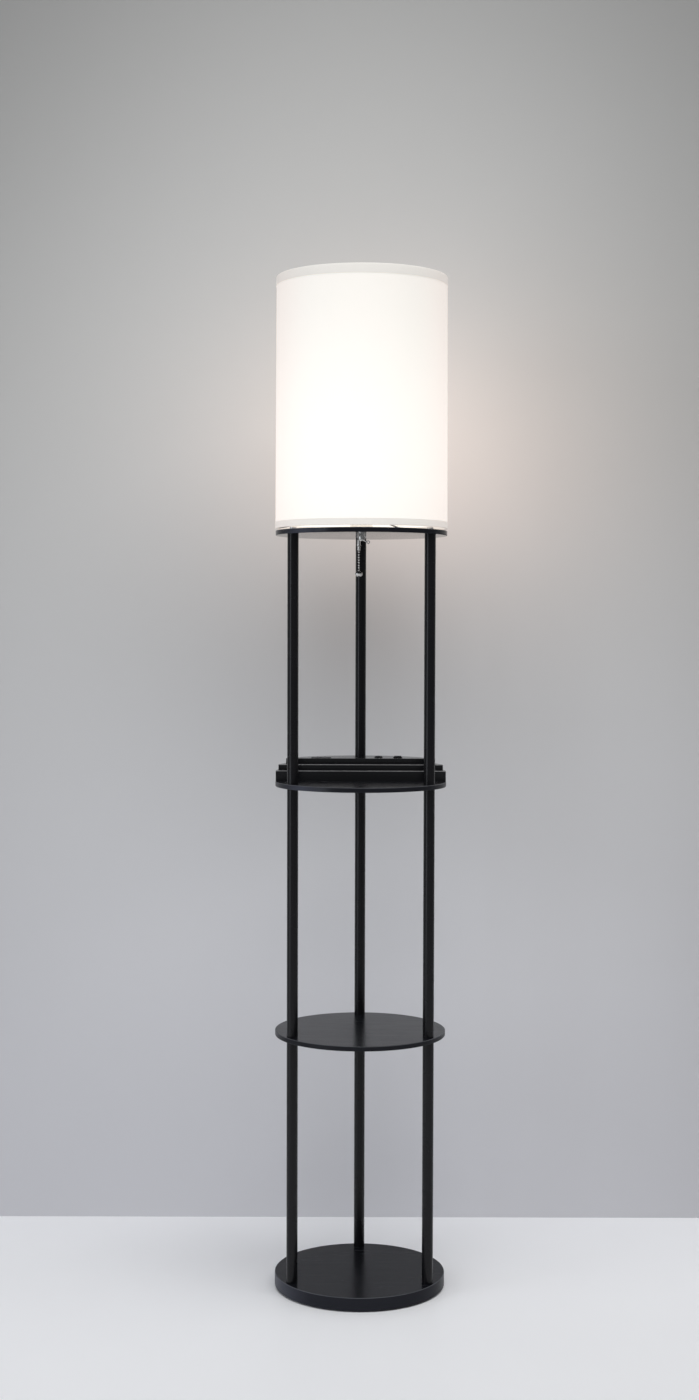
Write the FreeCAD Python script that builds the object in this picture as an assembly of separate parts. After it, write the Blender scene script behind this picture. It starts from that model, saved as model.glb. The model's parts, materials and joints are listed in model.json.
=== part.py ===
import FreeCAD, Part
import math
import os

# A shelf floor lamp in millimetres: +Z up, the front is -Y, the origin is on the floor under the centre.
Vector = FreeCAD.Vector
UP = Vector(0, 0, 1)

# ---- clearances -------------------------------------------------------------------------------
thread_gap = 0.05
push_gap = 0.05
screw_gap = 0.3
slip_gap = 0.3
contact_gap = 0.1

# ---- boards and poles -------------------------------------------------------------------------
board_radius = 144.0
board_thickness = 8.0
board_edge_round = 0.8
base_thickness = 22.0
base_edge_round = 1.2
pad_thickness = 2.0
pad_radius = 12.0
pad_edge_margin = 29.0
pad_circle_radius = board_radius - pad_edge_margin
pad_angles = (45.0, 135.0, 225.0, 315.0)

pole_radius = 9.25
pole_wall = 1.0
pole_bore = pole_radius - pole_wall
pole_length = 413.0
pole_edge_margin = 13.5
pole_circle_radius = board_radius - pole_edge_margin
pole_places = {"back": 90.0, "left": 210.0, "right": 330.0}
base_socket_depth = 8.0

# ---- the leads' own sizes, which bores and windows follow -------------------------------------
lead_radius = 2.5
lead_play = 0.7
switch_lead_radius = 2.0

# ---- what joins boards and poles --------------------------------------------------------------
insert_length = 14.0
stud_radius = 3.0
stud_reach = 12.0
base_screw_head_radius = 5.0
base_screw_head_height = 4.0
base_key_half = 2.5
base_key_depth = 2.5
washer_radius = 7.0
washer_thickness = 1.2
washer_play = 1.0
base_counterbore_radius = washer_radius + washer_play
base_counterbore_depth = 7.0
plate_screw_head_radius = 5.5
plate_screw_head_height = 3.0
plate_key_half = 2.0
plate_key_depth = 2.0
lead_nipple_bore = lead_radius + lead_play
lead_nipple_wall = 1.8
lead_nipple_radius = lead_nipple_bore + lead_nipple_wall
lead_nipple_stand = 5.0
nut_height = 4.0

# ---- charging unit ----------------------------------------------------------------------------
cover_inset = 0.3
cover_radius = board_radius - cover_inset
cover_wall = 2.0
cover_edge_round = 0.8
step_fronts = (2.0, 32.0, 65.0)
step_heights = (17.2, 25.8, 34.0)
groove_width = 11.0
groove_depth = 3.5
groove_setback = 9.0
groove_end_margin = 16.0
tray_thickness = 1.5
cover_boss_radius = 4.0
cover_boss_places = ((-120.0, 18.0), (120.0, 18.0), (-92.0, 99.0), (92.0, 99.0))
unit_screw_radius = 1.75
unit_screw_head_radius = 3.5
unit_screw_head_height = 2.4
unit_screw_slot_half = (0.5, 2.2)
unit_screw_slot_floor = 1.4
unit_screw_recess = 3.0
unit_screw_grip = 8.0

terminal_pole_gap = 9.25
terminal_back = pole_circle_radius - pole_radius - terminal_pole_gap
terminal_depth = 8.0
terminal_front = terminal_back - terminal_depth
terminal_half_width = 9.0
terminal_pitch = 6.0
terminal_well_radius = 1.6
terminal_well_depth = 3.0
terminal_well_setback = 3.5
charger_half_width = 46.0
charger_depth = 42.0
charger_back_margin = 4.0
charger_back = terminal_back + charger_back_margin
charger_front = charger_back - charger_depth
charger_lift = 12.0
charger_thickness = 1.6
charger_peg_inset = 4.0
charger_post_radius = 2.5
charger_peg_radius = 1.2
charger_peg_stand = 1.0
terminal_headroom = 0.4
terminal_height = step_heights[2] - cover_wall - charger_lift - charger_thickness - terminal_headroom
# each block on the board: its centre from the board's front edge, its width, depth and height
component_blocks = (
    (20.0, 4.0, 12.0, 10.0, 11.0),
    (36.5, 5.5, 8.0, 9.0, 12.0),
    (-20.0, 5.0, 14.0, 6.0, 6.0),
)

device_line = charger_back - 23.0
usb_places = ((-30.0, device_line), (-12.0, device_line))
usb_width = 13.1
usb_height = 5.7
usb_shell_wall = 0.4
usb_drop = 0.2
usb_tongue_thickness = 1.9
usb_tongue_width = 10.4
usb_tongue_drop = 1.5
usb_tongue_inset = 0.3
usb_solder_base = 9.0

outlet_place = (-68.0, device_line)
outlet_body_half = (15.0, 12.0)
outlet_face_lip = 2.0
outlet_face_height = 0.8
outlet_body_depth = 22.0
blade_spacing = 12.7
blade_slot = (2.2, 8.0)
blade_slot_offset = 3.0
ground_hole_radius = 2.5
ground_hole_offset = -8.5
outlet_slot_depth = 15.0
contact_length = 6.0
contact_slit = 0.8
contact_wall = 0.6

switch_line = device_line + 2.0
paddle_radius = 8.8
paddle_half_length = 6.1
paddle_end_gap = 0.2
paddle_side_gap = 0.25
paddle_peak = 0.3
paddle_tilt = 6.0
paddle_bottom = 3.0
paddle_pin_radius = 0.8
paddle_pin_length = 0.5
rocker_place = (64.5, switch_line)
rocker_side_wall = 0.75
rocker_end_wall = 0.8
rocker_side_lip = 0.7
rocker_end_lip = 0.6
rocker_well_half = (paddle_half_length + paddle_end_gap, paddle_radius + paddle_side_gap)
rocker_body_half = (rocker_well_half[0] + rocker_end_wall, rocker_well_half[1] + rocker_side_wall)
rocker_flange_half = (rocker_body_half[0] + rocker_end_lip, rocker_body_half[1] + rocker_side_lip)
rocker_flange_height = 1.2
rocker_body_depth = 13.0
rocker_well_depth = 7.0
rocker_axis_drop = 1.2

button_place = (31.3, switch_line)
button_cap_radius = 6.0
button_sleeve_wall = 0.9
button_bezel_lip = 0.4
button_sleeve_radius = button_cap_radius + button_sleeve_wall
button_bezel_radius = button_sleeve_radius + button_bezel_lip
button_bezel_height = 1.1
button_sleeve_depth = 5.0
button_cap_height = 3.0
button_crown = 1.2
button_skirt_depth = 2.0
button_stem_radius = 2.0
button_travel = 1.2
tact_half = 3.0
tact_height = 4.5

gland_angle = 100.0
gland_height = 10.0
gland_wall = 1.3
gland_lip = 1.5
gland_bore_radius = lead_radius + lead_play
gland_neck_radius = gland_bore_radius + gland_wall
gland_flange_radius = gland_neck_radius + gland_lip
gland_flange_height = 2.0
gland_inner_reach = 2.5

# ---- leads ------------------------------------------------------------------------------------
lead_bend = 6.0
lead_top_bend = 8.0
lead_headroom = 0.5
lamp_lead_height = step_heights[2] - cover_wall - lead_radius - lead_headroom
mains_lead_height = 20.0
mains_lead_clearance = 4.2
mains_lead_turn = (charger_back + mains_lead_clearance) / math.sin(math.radians(gland_angle))
mains_lead_stub = 4.0
mains_lead_bends = (4.0, 2.5)
window_side_play = 2.0
window_room_below = 1.0
window_room_above = 0.3
pole_window_width = 2 * (lead_radius + window_side_play)
pole_window_low = lamp_lead_height - lead_radius - window_room_below
pole_window_high = lamp_lead_height + lead_radius + window_room_above
lead_tail = 0.5

# ---- lamp socket, above the top plate, built outwards from the bulb's base --------------------
bulb_base_radius = 13.2
bulb_fit_gap = 0.3
screw_shell_wall = 0.5
screw_shell_radius = bulb_base_radius + bulb_fit_gap + screw_shell_wall
screw_shell_height = 22.0
shell_gap = 0.2
socket_bore = screw_shell_radius + shell_gap
socket_wall = 2.2
socket_radius = socket_bore + socket_wall
socket_height = 32.0
socket_floor = 3.0
cap_ledge = 2.6
cap_radius = socket_radius + cap_ledge
cap_boss_radius = 10.0
cap_height = 24.0
cap_wall = 1.8
cap_shoulder = 6.0
lead_hole_height = 14.0
nipple_radius = 4.8
nipple_bore = 3.3
nipple_below = 6.0
nipple_above = 8.0
locknut_flat_half = 7.0
locknut_height = 3.5
contact_radius = 4.0
contact_thickness = 1.4
ring_lip = 5.1
ring_radius = socket_radius + ring_lip
ring_height = 6.0

bulb_base_height = 26.0
bulb_tip_radius = 5.0
bulb_tip_height = 4.0
bulb_radius = 30.0
bulb_length = 108.0
bulb_glass_wall = 0.9
bulb_neck_step = 0.2
bulb_neck_radius = bulb_base_radius - bulb_neck_step
bulb_neck_height = 5.0

# ---- pull switch under the top plate, built outwards from the chain's beads -------------------
bead_radius = 1.6
bead_link = 1.15
bead_pitch = 2 * bead_radius + bead_link
bead_wire_radius = 0.5
top_bead_gap = 0.2
beads_in_guide = 2
beads_in_connector = 2
beads_below = 8
switch_y = -36.0
switch_body_radius = 10.0
switch_body_height = 24.0
bushing_play = 0.6
bushing_wall = 2.5
bushing_bore = bead_radius + bushing_play
bushing_radius = bushing_bore + bushing_wall
bushing_below = 6.5
switch_nut_flat_half = 6.5
switch_nut_height = 3.0
guide_collar_wall = 1.5
guide_collar_radius = bushing_radius + guide_collar_wall
guide_collar_floor = 1.0
bushing_end_gap = 0.5
guide_collar_height = bushing_below - switch_nut_height + bushing_end_gap + guide_collar_floor
guide_play = 0.35
guide_arm_wall = 0.95
guide_arm_bore = bead_radius + guide_play
guide_arm_radius = guide_arm_bore + guide_arm_wall
guide_ball_radius = bushing_bore + guide_arm_wall
guide_arm_x = -4.5
guide_elbow_drop = 9.0
guide_mouth_drop = 18.0
guide_mouth_lip = 0.5
guide_lip_height = 1.2
guide_root_rise = 2.0
eye_arm_radius = 1.3
eye_arm_inset = 0.3
eye_wire_radius = 0.8
eye_ring_radius = 2.2
eye_centre = (11.0, 12.2)

connector_play = 0.15
connector_wall = 0.65
connector_bore = bead_radius + connector_play
connector_radius = connector_bore + connector_wall
connector_gap = 0.4
fob_radius = 6.4
fob_height = 9.2
fob_roof = 0.8
fob_play = 0.4
fob_neck_wall = 0.9
fob_pocket_radius = bead_radius + fob_play
fob_neck_radius = fob_pocket_radius + fob_neck_wall

# ---- shade ------------------------------------------------------------------------------------
shade_gap = 4.0
shade_height = 417.5
shade_overhang = 0.4
shade_taper = 1.5
shade_bottom_radius = board_radius + shade_overhang
shade_top_radius = shade_bottom_radius - shade_taper
panel_thickness = 0.8
hem_thickness = 0.5
hem_gap = 0.05
top_hem_height = 15.0
bottom_hem_height = 10.7
hem_inner_height = 8.0
ring_wire_radius = 1.6
ring_wire_inset = 0.1
spoke_angles = (55.0, 175.0, 295.0)
fitter_lip = 3.5
fitter_radius = ring_radius + fitter_lip
fitter_thickness = 1.2

# ---- heights worked out from the sizes above --------------------------------------------------
base_bottom = pad_thickness
base_top = base_bottom + base_thickness
lower_pole_bottom = base_top - base_socket_depth
lower_shelf_bottom = lower_pole_bottom + pole_length
lower_shelf_top = lower_shelf_bottom + board_thickness
station_shelf_bottom = lower_shelf_top + pole_length
station_shelf_top = station_shelf_bottom + board_thickness
plate_bottom = station_shelf_top + pole_length
plate_top = plate_bottom + board_thickness
unit_top = station_shelf_top + step_heights[2]
pole_levels = {
    "lower": lower_pole_bottom,
    "middle": lower_shelf_top,
    "upper": station_shelf_top,
}


# ---- small helpers ----------------------------------------------------------------------------
def place(angle, radius=pole_circle_radius):
    turn = math.radians(angle)
    return radius * math.cos(turn), radius * math.sin(turn)


def cylinder(radius, low, high, x=0.0, y=0.0):
    return Part.makeCylinder(radius, high - low, Vector(x, y, low))


def tube(outer, inner, low, high, x=0.0, y=0.0):
    return cylinder(outer, low, high, x, y).cut(cylinder(inner, low - 1, high + 1, x, y))


def block(half, low, high, centre=(0.0, 0.0)):
    corner = Vector(centre[0] - half[0], centre[1] - half[1], low)
    return Part.makeBox(2 * half[0], 2 * half[1], high - low, corner)


def turned(outline, x=0.0, y=0.0):
    points = [Vector(radius, 0, height) for radius, height in outline]
    face = Part.Face(Part.makePolygon(points + points[:1]))
    solid = face.revolve(Vector(0, 0, 0), UP, 360)
    solid.translate(Vector(x, y, 0))
    return solid


def hexagon(flat_half, low, high, x, y):
    corner = flat_half / math.cos(math.radians(30))
    points = [Vector(x + place(60 * k, corner)[0], y + place(60 * k, corner)[1], low) for k in range(6)]
    return Part.Face(Part.makePolygon(points + points[:1])).extrude(UP * (high - low))


def fused(shapes):
    whole = shapes[0].multiFuse(shapes[1:]) if len(shapes) > 1 else shapes[0]
    return whole.removeSplitter()


def rod(start, end, radius):
    run = end - start
    return Part.makeCylinder(radius, run.Length, start, run)


def swept(path, radius):
    start = path.Vertexes[0].Point
    heading = path.Edges[0].tangentAt(path.Edges[0].FirstParameter)
    ring = Part.Wire([Part.makeCircle(radius, start, heading)])
    return Part.Wire(path).makePipeShell([ring], True, False)


def bend(start, corner, end, radius):
    # the arc that rounds a corner, with its two tangent points
    into = (corner - start).normalize()
    out = (end - corner).normalize()
    turn = into.getAngle(out)
    trim = radius * math.tan(turn / 2)
    first = corner - into * trim
    last = corner + out * trim
    inward = (out - into).normalize()
    middle = corner + inward * (radius / math.cos(turn / 2) - radius)
    return first, last, Part.Arc(first, middle, last).toShape()


def route(points, radii):
    edges = []
    here = points[0]
    for k, radius in enumerate(radii):
        first, last, arc = bend(points[k], points[k + 1], points[k + 2], radius)
        edges.append(Part.LineSegment(here, first).toShape())
        edges.append(arc)
        here = last
    edges.append(Part.LineSegment(here, points[-1]).toShape())
    return Part.Wire(edges)


def rim_edges(solid, radius):
    wide = 2 * radius - 1
    return [edge for edge in solid.Edges if edge.BoundBox.XLength > wide and edge.BoundBox.ZLength < 0.01]


def round_board(thickness, low, rounding):
    disc = cylinder(board_radius, low, low + thickness)
    return disc.makeFillet(rounding, rim_edges(disc, board_radius))


# ---- base -------------------------------------------------------------------------------------
def base_board():
    board = round_board(base_thickness, base_bottom, base_edge_round)
    for angle in pole_places.values():
        x, y = place(angle)
        board = board.cut(cylinder(pole_radius + slip_gap / 2, lower_pole_bottom, base_top + 1, x, y))
        board = board.cut(cylinder(stud_radius + screw_gap, base_bottom - 1, base_top, x, y))
        counterbore_top = base_bottom + base_counterbore_depth
        board = board.cut(cylinder(base_counterbore_radius, base_bottom - 1, counterbore_top, x, y))
    return board


def foot_pads():
    places = [place(angle, pad_circle_radius) for angle in pad_angles]
    return [cylinder(pad_radius, 0, pad_thickness, x, y) for x, y in places]


def base_washers():
    seat = base_bottom + base_counterbore_depth
    low = seat - washer_thickness
    places = [place(angle) for angle in pole_places.values()]
    return [tube(washer_radius, stud_radius + screw_gap, low, seat, x, y) for x, y in places]


def base_screws():
    screws = []
    head_top = base_bottom + base_counterbore_depth - washer_thickness
    head_low = head_top - base_screw_head_height
    for angle in pole_places.values():
        x, y = place(angle)
        head = cylinder(base_screw_head_radius, head_low, head_top, x, y)
        key = hexagon(base_key_half, head_low - 1, head_low + base_key_depth, x, y)
        shank = cylinder(stud_radius, head_top, lower_pole_bottom + stud_reach, x, y)
        screws.append(fused([head.cut(key), shank]))
    return screws


# ---- poles and what joins them ----------------------------------------------------------------
def pole(level, where):
    x, y = place(pole_places[where])
    low = pole_levels[level]
    shaft = tube(pole_radius, pole_bore, low, low + pole_length, x, y)
    if (level, where) == ("upper", "back"):
        # the leads leave the pole through this window, hidden inside the charging unit
        window = Part.makeBox(
            pole_window_width,
            pole_radius + 1,
            pole_window_high - pole_window_low,
            Vector(-pole_window_width / 2, y - pole_radius - 1, station_shelf_top + pole_window_low),
        )
        shaft = shaft.cut(window)
    return shaft


def pole_inserts():
    outer = pole_bore - push_gap
    inserts = []
    for low in pole_levels.values():
        for where, angle in pole_places.items():
            x, y = place(angle)
            bottom_bore = stud_radius + thread_gap
            inserts.append(tube(outer, bottom_bore, low, low + insert_length, x, y))
            hollow_end = low == station_shelf_top and where == "back"
            top_bore = lead_nipple_radius + thread_gap if hollow_end else bottom_bore
            high = low + pole_length
            inserts.append(tube(outer, top_bore, high - insert_length, high, x, y))
    return inserts


def joining_studs():
    studs = []
    for bottom, top in ((lower_shelf_bottom, lower_shelf_top), (station_shelf_bottom, station_shelf_top)):
        for angle in pole_places.values():
            studs.append(cylinder(stud_radius, bottom - stud_reach, top + stud_reach, *place(angle)))
    return studs


# ---- shelves and top plate --------------------------------------------------------------------
def drilled(board, low, places, radius):
    for x, y in places:
        board = board.cut(cylinder(radius, low - 1, low + board_thickness + 1, x, y))
    return board


def lower_shelf():
    board = round_board(board_thickness, lower_shelf_bottom, board_edge_round)
    places = [place(angle) for angle in pole_places.values()]
    return drilled(board, lower_shelf_bottom, places, stud_radius + screw_gap)


def station_shelf():
    board = round_board(board_thickness, station_shelf_bottom, board_edge_round)
    places = [place(angle) for angle in pole_places.values()]
    board = drilled(board, station_shelf_bottom, places, stud_radius + screw_gap)
    board = drilled(board, station_shelf_bottom, cover_boss_places, unit_screw_radius + screw_gap)
    recess_top = station_shelf_bottom + unit_screw_recess
    for x, y in cover_boss_places:
        recess = cylinder(unit_screw_head_radius + screw_gap, station_shelf_bottom - 1, recess_top, x, y)
        board = board.cut(recess)
    return board


def top_plate():
    board = round_board(board_thickness, plate_bottom, board_edge_round)
    front_poles = [place(pole_places[where]) for where in ("left", "right")]
    board = drilled(board, plate_bottom, front_poles, stud_radius + screw_gap)
    board = drilled(board, plate_bottom, [place(pole_places["back"])], lead_nipple_radius + screw_gap)
    board = drilled(board, plate_bottom, [(0.0, 0.0)], nipple_radius + screw_gap)
    return drilled(board, plate_bottom, [(0.0, switch_y)], bushing_radius + screw_gap)


def plate_screws():
    screws = []
    for where in ("left", "right"):
        x, y = place(pole_places[where])
        head = cylinder(plate_screw_head_radius, plate_top, plate_top + plate_screw_head_height, x, y)
        key_low = plate_top + plate_screw_head_height - plate_key_depth
        key = hexagon(plate_key_half, key_low, key_low + 2 * plate_key_depth, x, y)
        shank = cylinder(stud_radius, plate_bottom - stud_reach, plate_top, x, y)
        screws.append(fused([head.cut(key), shank]))
    return screws


def lead_nipple():
    x, y = place(pole_places["back"])
    low = plate_bottom - insert_length
    return tube(lead_nipple_radius, lead_nipple_bore, low, plate_top + lead_nipple_stand, x, y)


def lead_nipple_nut():
    x, y = place(pole_places["back"])
    high = plate_top + nut_height
    nut = hexagon(locknut_flat_half, plate_top, high, x, y)
    return nut.cut(cylinder(lead_nipple_radius + thread_gap, plate_top - 1, high + 1, x, y))


# ---- charging unit ----------------------------------------------------------------------------
def stepped_block(radius, fronts, tops, floor):
    tiers = []
    for front, top in zip(fronts, tops):
        disc = cylinder(radius, floor, top)
        corner = Vector(-radius - 1, front, floor)
        rear = Part.makeBox(2 * radius + 2, radius - front + 1, top - floor, corner)
        tiers.append(disc.common(rear))
    return fused(tiers)


def step_groove(step, margin, depth, extra_height=0.0):
    # the slot along a tread that a phone or tablet stands in
    top = station_shelf_top + step_heights[step]
    front = step_fronts[step] + groove_setback
    back = front + groove_width
    half = math.sqrt(cover_radius ** 2 - back ** 2) - groove_end_margin
    corner = Vector(-half - margin, front - margin, top - depth)
    return Part.makeBox(2 * (half + margin), groove_width + 2 * margin, depth + extra_height, corner)


def nose_edges(solid, front, top):
    # the straight upper front edge of one step
    found = []
    for edge in solid.Edges:
        box = edge.BoundBox
        straight = box.YLength < 0.01 and box.ZLength < 0.01
        if straight and abs(box.YMin - front) < 0.01 and abs(box.ZMin - top) < 0.01:
            found.append(edge)
    return found


def cover_cutouts():
    high = unit_top + 1
    low = unit_top - 3 * cover_wall
    cuts = [cylinder(pole_radius + slip_gap, low, high, *place(pole_places["back"]))]
    for centre in usb_places:
        half = (usb_width / 2 + slip_gap, usb_height / 2 + slip_gap)
        cuts.append(block(half, low, high, centre))
    outlet_half = tuple(size + push_gap for size in outlet_body_half)
    cuts.append(block(outlet_half, low, high, outlet_place))
    rocker_half = tuple(size + push_gap for size in rocker_body_half)
    cuts.append(block(rocker_half, low, high, rocker_place))
    cuts.append(cylinder(button_sleeve_radius + push_gap, low, high, *button_place))
    return cuts


def gland_axis():
    x, y = place(gland_angle, 1.0)
    return Vector(x, y, 0)


def gland_point(radius):
    return gland_axis() * radius + UP * (station_shelf_top + gland_height)


def radial_rod(radius, start, end):
    return rod(gland_point(start), gland_point(end), radius)


def station_cover():
    floor = station_shelf_top
    tops = [floor + height for height in step_heights]
    cover = stepped_block(cover_radius, step_fronts, tops, floor)
    noses = [nose for front, top in zip(step_fronts, tops) for nose in nose_edges(cover, front, top)]
    cover = cover.makeFillet(cover_edge_round, noses)
    inner_fronts = [front + cover_wall for front in step_fronts]
    inner_tops = [top - cover_wall for top in tops]
    cavity = stepped_block(cover_radius - cover_wall, inner_fronts, inner_tops, floor - 1)
    cavity = cavity.cut(fused([step_groove(step, cover_wall, groove_depth + cover_wall) for step in (0, 1)]))
    cover = cover.cut(cavity)
    bosses = []
    for x, y in cover_boss_places:
        tier = sum(1 for front in step_fronts if y - cover_boss_radius > front + cover_wall) - 1
        bosses.append(cylinder(cover_boss_radius, floor + tray_thickness, inner_tops[tier] + 1, x, y))
    cover = fused([cover] + bosses)
    pilot_top = floor + tray_thickness + unit_screw_grip + 1
    for x, y in cover_boss_places:
        cover = cover.cut(cylinder(unit_screw_radius + thread_gap, floor, pilot_top, x, y))
    for step in (0, 1):
        cover = cover.cut(step_groove(step, 0.0, groove_depth, extra_height=1.0))
    for cut in cover_cutouts():
        cover = cover.cut(cut)
    gland_hole = radial_rod(gland_neck_radius + push_gap, cover_radius - 2 * cover_wall, cover_radius + 1)
    return cover.cut(gland_hole)


def charger_pegs():
    xs = (-charger_half_width + charger_peg_inset, charger_half_width - charger_peg_inset)
    ys = (charger_front + charger_peg_inset, charger_back - charger_peg_inset)
    return [(x, y) for x in xs for y in ys]


def station_tray():
    floor = station_shelf_top
    top = floor + tray_thickness
    radius = cover_radius - cover_wall - slip_gap
    tray = stepped_block(radius, [step_fronts[0] + cover_wall + slip_gap], [top], floor)
    tray = tray.cut(cylinder(pole_radius + slip_gap, floor - 1, top + 1, *place(pole_places["back"])))
    for x, y in cover_boss_places:
        tray = tray.cut(cylinder(unit_screw_radius + screw_gap, floor - 1, top + 1, x, y))
    board_bottom = floor + charger_lift
    posts = [cylinder(charger_post_radius, floor, board_bottom, x, y) for x, y in charger_pegs()]
    peg_top = board_bottom + charger_thickness + charger_peg_stand
    pegs = [cylinder(charger_peg_radius, floor, peg_top, x, y) for x, y in charger_pegs()]
    return fused([tray] + posts + pegs)


def station_screws():
    screws = []
    head_top = station_shelf_bottom + unit_screw_recess
    tip = station_shelf_top + tray_thickness + unit_screw_grip
    for x, y in cover_boss_places:
        head = cylinder(unit_screw_head_radius, head_top - unit_screw_head_height, head_top, x, y)
        shank = cylinder(unit_screw_radius, head_top, tip, x, y)
        for half in (unit_screw_slot_half, unit_screw_slot_half[::-1]):
            slot_low = head_top - 2 * unit_screw_head_height
            head = head.cut(block(half, slot_low, head_top - unit_screw_slot_floor, (x, y)))
        screws.append(fused([head, shank]))
    return screws


def board_top():
    return station_shelf_top + charger_lift + charger_thickness


def charger_board():
    low = station_shelf_top + charger_lift
    half = (charger_half_width, (charger_back - charger_front) / 2)
    board = block(half, low, board_top(), (0.0, (charger_back + charger_front) / 2))
    for x, y in charger_pegs():
        board = board.cut(cylinder(charger_peg_radius + push_gap, low - 1, board_top() + 1, x, y))
    return board


def board_components():
    return [
        block((width / 2, depth / 2), board_top(), board_top() + height, (x, charger_front + from_front))
        for x, from_front, width, depth, height in component_blocks
    ]


def terminal_block():
    half = (terminal_half_width, (terminal_back - terminal_front) / 2)
    high = board_top() + terminal_height
    body = block(half, board_top(), high, (0.0, (terminal_back + terminal_front) / 2))
    y = terminal_front + terminal_well_setback
    for x in (-terminal_pitch, 0.0, terminal_pitch):
        body = body.cut(cylinder(terminal_well_radius, high - terminal_well_depth, high + 1, x, y))
    return body


def usb_ports():
    shells = []
    top = unit_top - usb_drop
    for centre in usb_places:
        outer = block((usb_width / 2, usb_height / 2), board_top(), top, centre)
        inner_half = (usb_width / 2 - usb_shell_wall, usb_height / 2 - usb_shell_wall)
        shells.append(outer.cut(block(inner_half, board_top() - 1, top + 1, centre)))
    return shells


def usb_tongues():
    tongues = []
    for x, y in usb_places:
        base_half = (usb_width / 2 - usb_shell_wall - push_gap, usb_height / 2 - usb_shell_wall - push_gap)
        base = block(base_half, board_top(), board_top() + usb_solder_base, (x, y))
        shift = base_half[1] - usb_tongue_thickness / 2 - usb_tongue_inset
        tongue_half = (usb_tongue_width / 2, usb_tongue_thickness / 2)
        tongue = block(tongue_half, board_top(), unit_top - usb_tongue_drop, (x, y + shift))
        tongues.append(fused([base, tongue]))
    return tongues


def blade_places():
    x, y = outlet_place
    return [(x - blade_spacing / 2, y + blade_slot_offset), (x + blade_spacing / 2, y + blade_slot_offset)]


def ac_outlet():
    x, y = outlet_place
    face_half = tuple(size + outlet_face_lip for size in outlet_body_half)
    face = block(face_half, unit_top, unit_top + outlet_face_height, outlet_place)
    body = block(outlet_body_half, unit_top - outlet_body_depth, unit_top + outlet_face_height, outlet_place)
    outlet = fused([face, body])
    high = unit_top + outlet_face_height + 1
    low = unit_top - outlet_slot_depth
    for centre in blade_places():
        outlet = outlet.cut(block((blade_slot[0] / 2, blade_slot[1] / 2), low, high, centre))
    return outlet.cut(cylinder(ground_hole_radius, low, high, x, y + ground_hole_offset))


def outlet_contacts():
    low = unit_top - outlet_slot_depth
    contacts = []
    for centre in blade_places():
        half = (blade_slot[0] / 2 - push_gap, blade_slot[1] / 2 - push_gap)
        clip = block(half, low, low + contact_length, centre)
        slit = block((contact_slit / 2, blade_slot[1]), low + 1, low + contact_length + 1, centre)
        contacts.append(clip.cut(slit))
    x, y = outlet_place
    sleeve = cylinder(ground_hole_radius - push_gap, low, low + contact_length, x, y + ground_hole_offset)
    bore_radius = ground_hole_radius - contact_wall
    bore = cylinder(bore_radius, low + 1, low + contact_length + 1, x, y + ground_hole_offset)
    return contacts + [sleeve.cut(bore)]


def rocker_pivot_height():
    return unit_top + rocker_flange_height


def rocker_frame():
    top = unit_top + rocker_flange_height
    flange = block(rocker_flange_half, unit_top, top, rocker_place)
    body = block(rocker_body_half, unit_top - rocker_body_depth, top, rocker_place)
    frame = fused([flange, body])
    frame = frame.cut(block(rocker_well_half, top - rocker_well_depth, top + 1, rocker_place))
    return frame.cut(rocker_pin(paddle_pin_radius + thread_gap, paddle_pin_length + 0.1))


def rocker_pin(radius, extra):
    x, y = rocker_place
    half = paddle_half_length + extra
    start = Vector(x - half, y, rocker_pivot_height() - rocker_axis_drop)
    return Part.makeCylinder(radius, 2 * half, start, Vector(1, 0, 0))


def rocker_paddle():
    x, y = rocker_place
    axis_height = rocker_pivot_height() - rocker_axis_drop
    start = Vector(x - paddle_half_length, y, axis_height)
    drum = Part.makeCylinder(paddle_radius, 2 * paddle_half_length, start, Vector(1, 0, 0))
    peak = axis_height + rocker_axis_drop + paddle_peak
    reach = 2 * paddle_radius
    rise = reach * math.tan(math.radians(paddle_tilt))
    outline = [
        Vector(x - reach, y, peak),
        Vector(x - reach, y + reach, peak + rise),
        Vector(x - reach, y + reach, peak + reach),
        Vector(x - reach, y - reach, peak + reach),
        Vector(x - reach, y - reach, peak + rise),
    ]
    above = Part.Face(Part.makePolygon(outline + outline[:1])).extrude(Vector(2 * reach, 0, 0))
    below = block((reach, reach), axis_height - 2 * reach, axis_height - paddle_bottom, rocker_place)
    paddle = fused([drum.cut(above).cut(below), rocker_pin(paddle_pin_radius, paddle_pin_length)])
    # it rests with its front end up
    paddle.rotate(Vector(x, y, axis_height), Vector(1, 0, 0), -paddle_tilt)
    return paddle


def button_bezel():
    x, y = button_place
    bore = button_cap_radius + push_gap
    high = unit_top + button_bezel_height
    ring = tube(button_bezel_radius, bore, unit_top, high, x, y)
    sleeve = tube(button_sleeve_radius, bore, unit_top - button_sleeve_depth, high, x, y)
    return fused([ring, sleeve])


def tact_top():
    return board_top() + tact_height


def button_cap():
    x, y = button_place
    skirt_low = unit_top - button_skirt_depth
    edge_high = unit_top + button_cap_height - button_crown
    outline = [
        (0.0, skirt_low),
        (button_cap_radius, skirt_low),
        (button_cap_radius, edge_high),
        (button_cap_radius - 0.7, edge_high + 0.55 * button_crown),
        (button_cap_radius / 2, edge_high + 0.9 * button_crown),
        (0.0, edge_high + button_crown),
    ]
    stem_low = tact_top() + button_travel + contact_gap
    stem = cylinder(button_stem_radius, stem_low, skirt_low + 1, x, y)
    return fused([turned(outline, x, y), stem])


def button_switch():
    return block((tact_half, tact_half), board_top(), tact_top(), button_place)


def cord_gland():
    flange = radial_rod(gland_flange_radius, cover_radius + contact_gap, cover_radius + gland_flange_height)
    neck = radial_rod(gland_neck_radius, cover_radius - cover_wall - gland_inner_reach, cover_radius + 1)
    bore = radial_rod(gland_bore_radius, cover_radius - 20, cover_radius + 20)
    return fused([flange, neck]).cut(bore)


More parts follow.
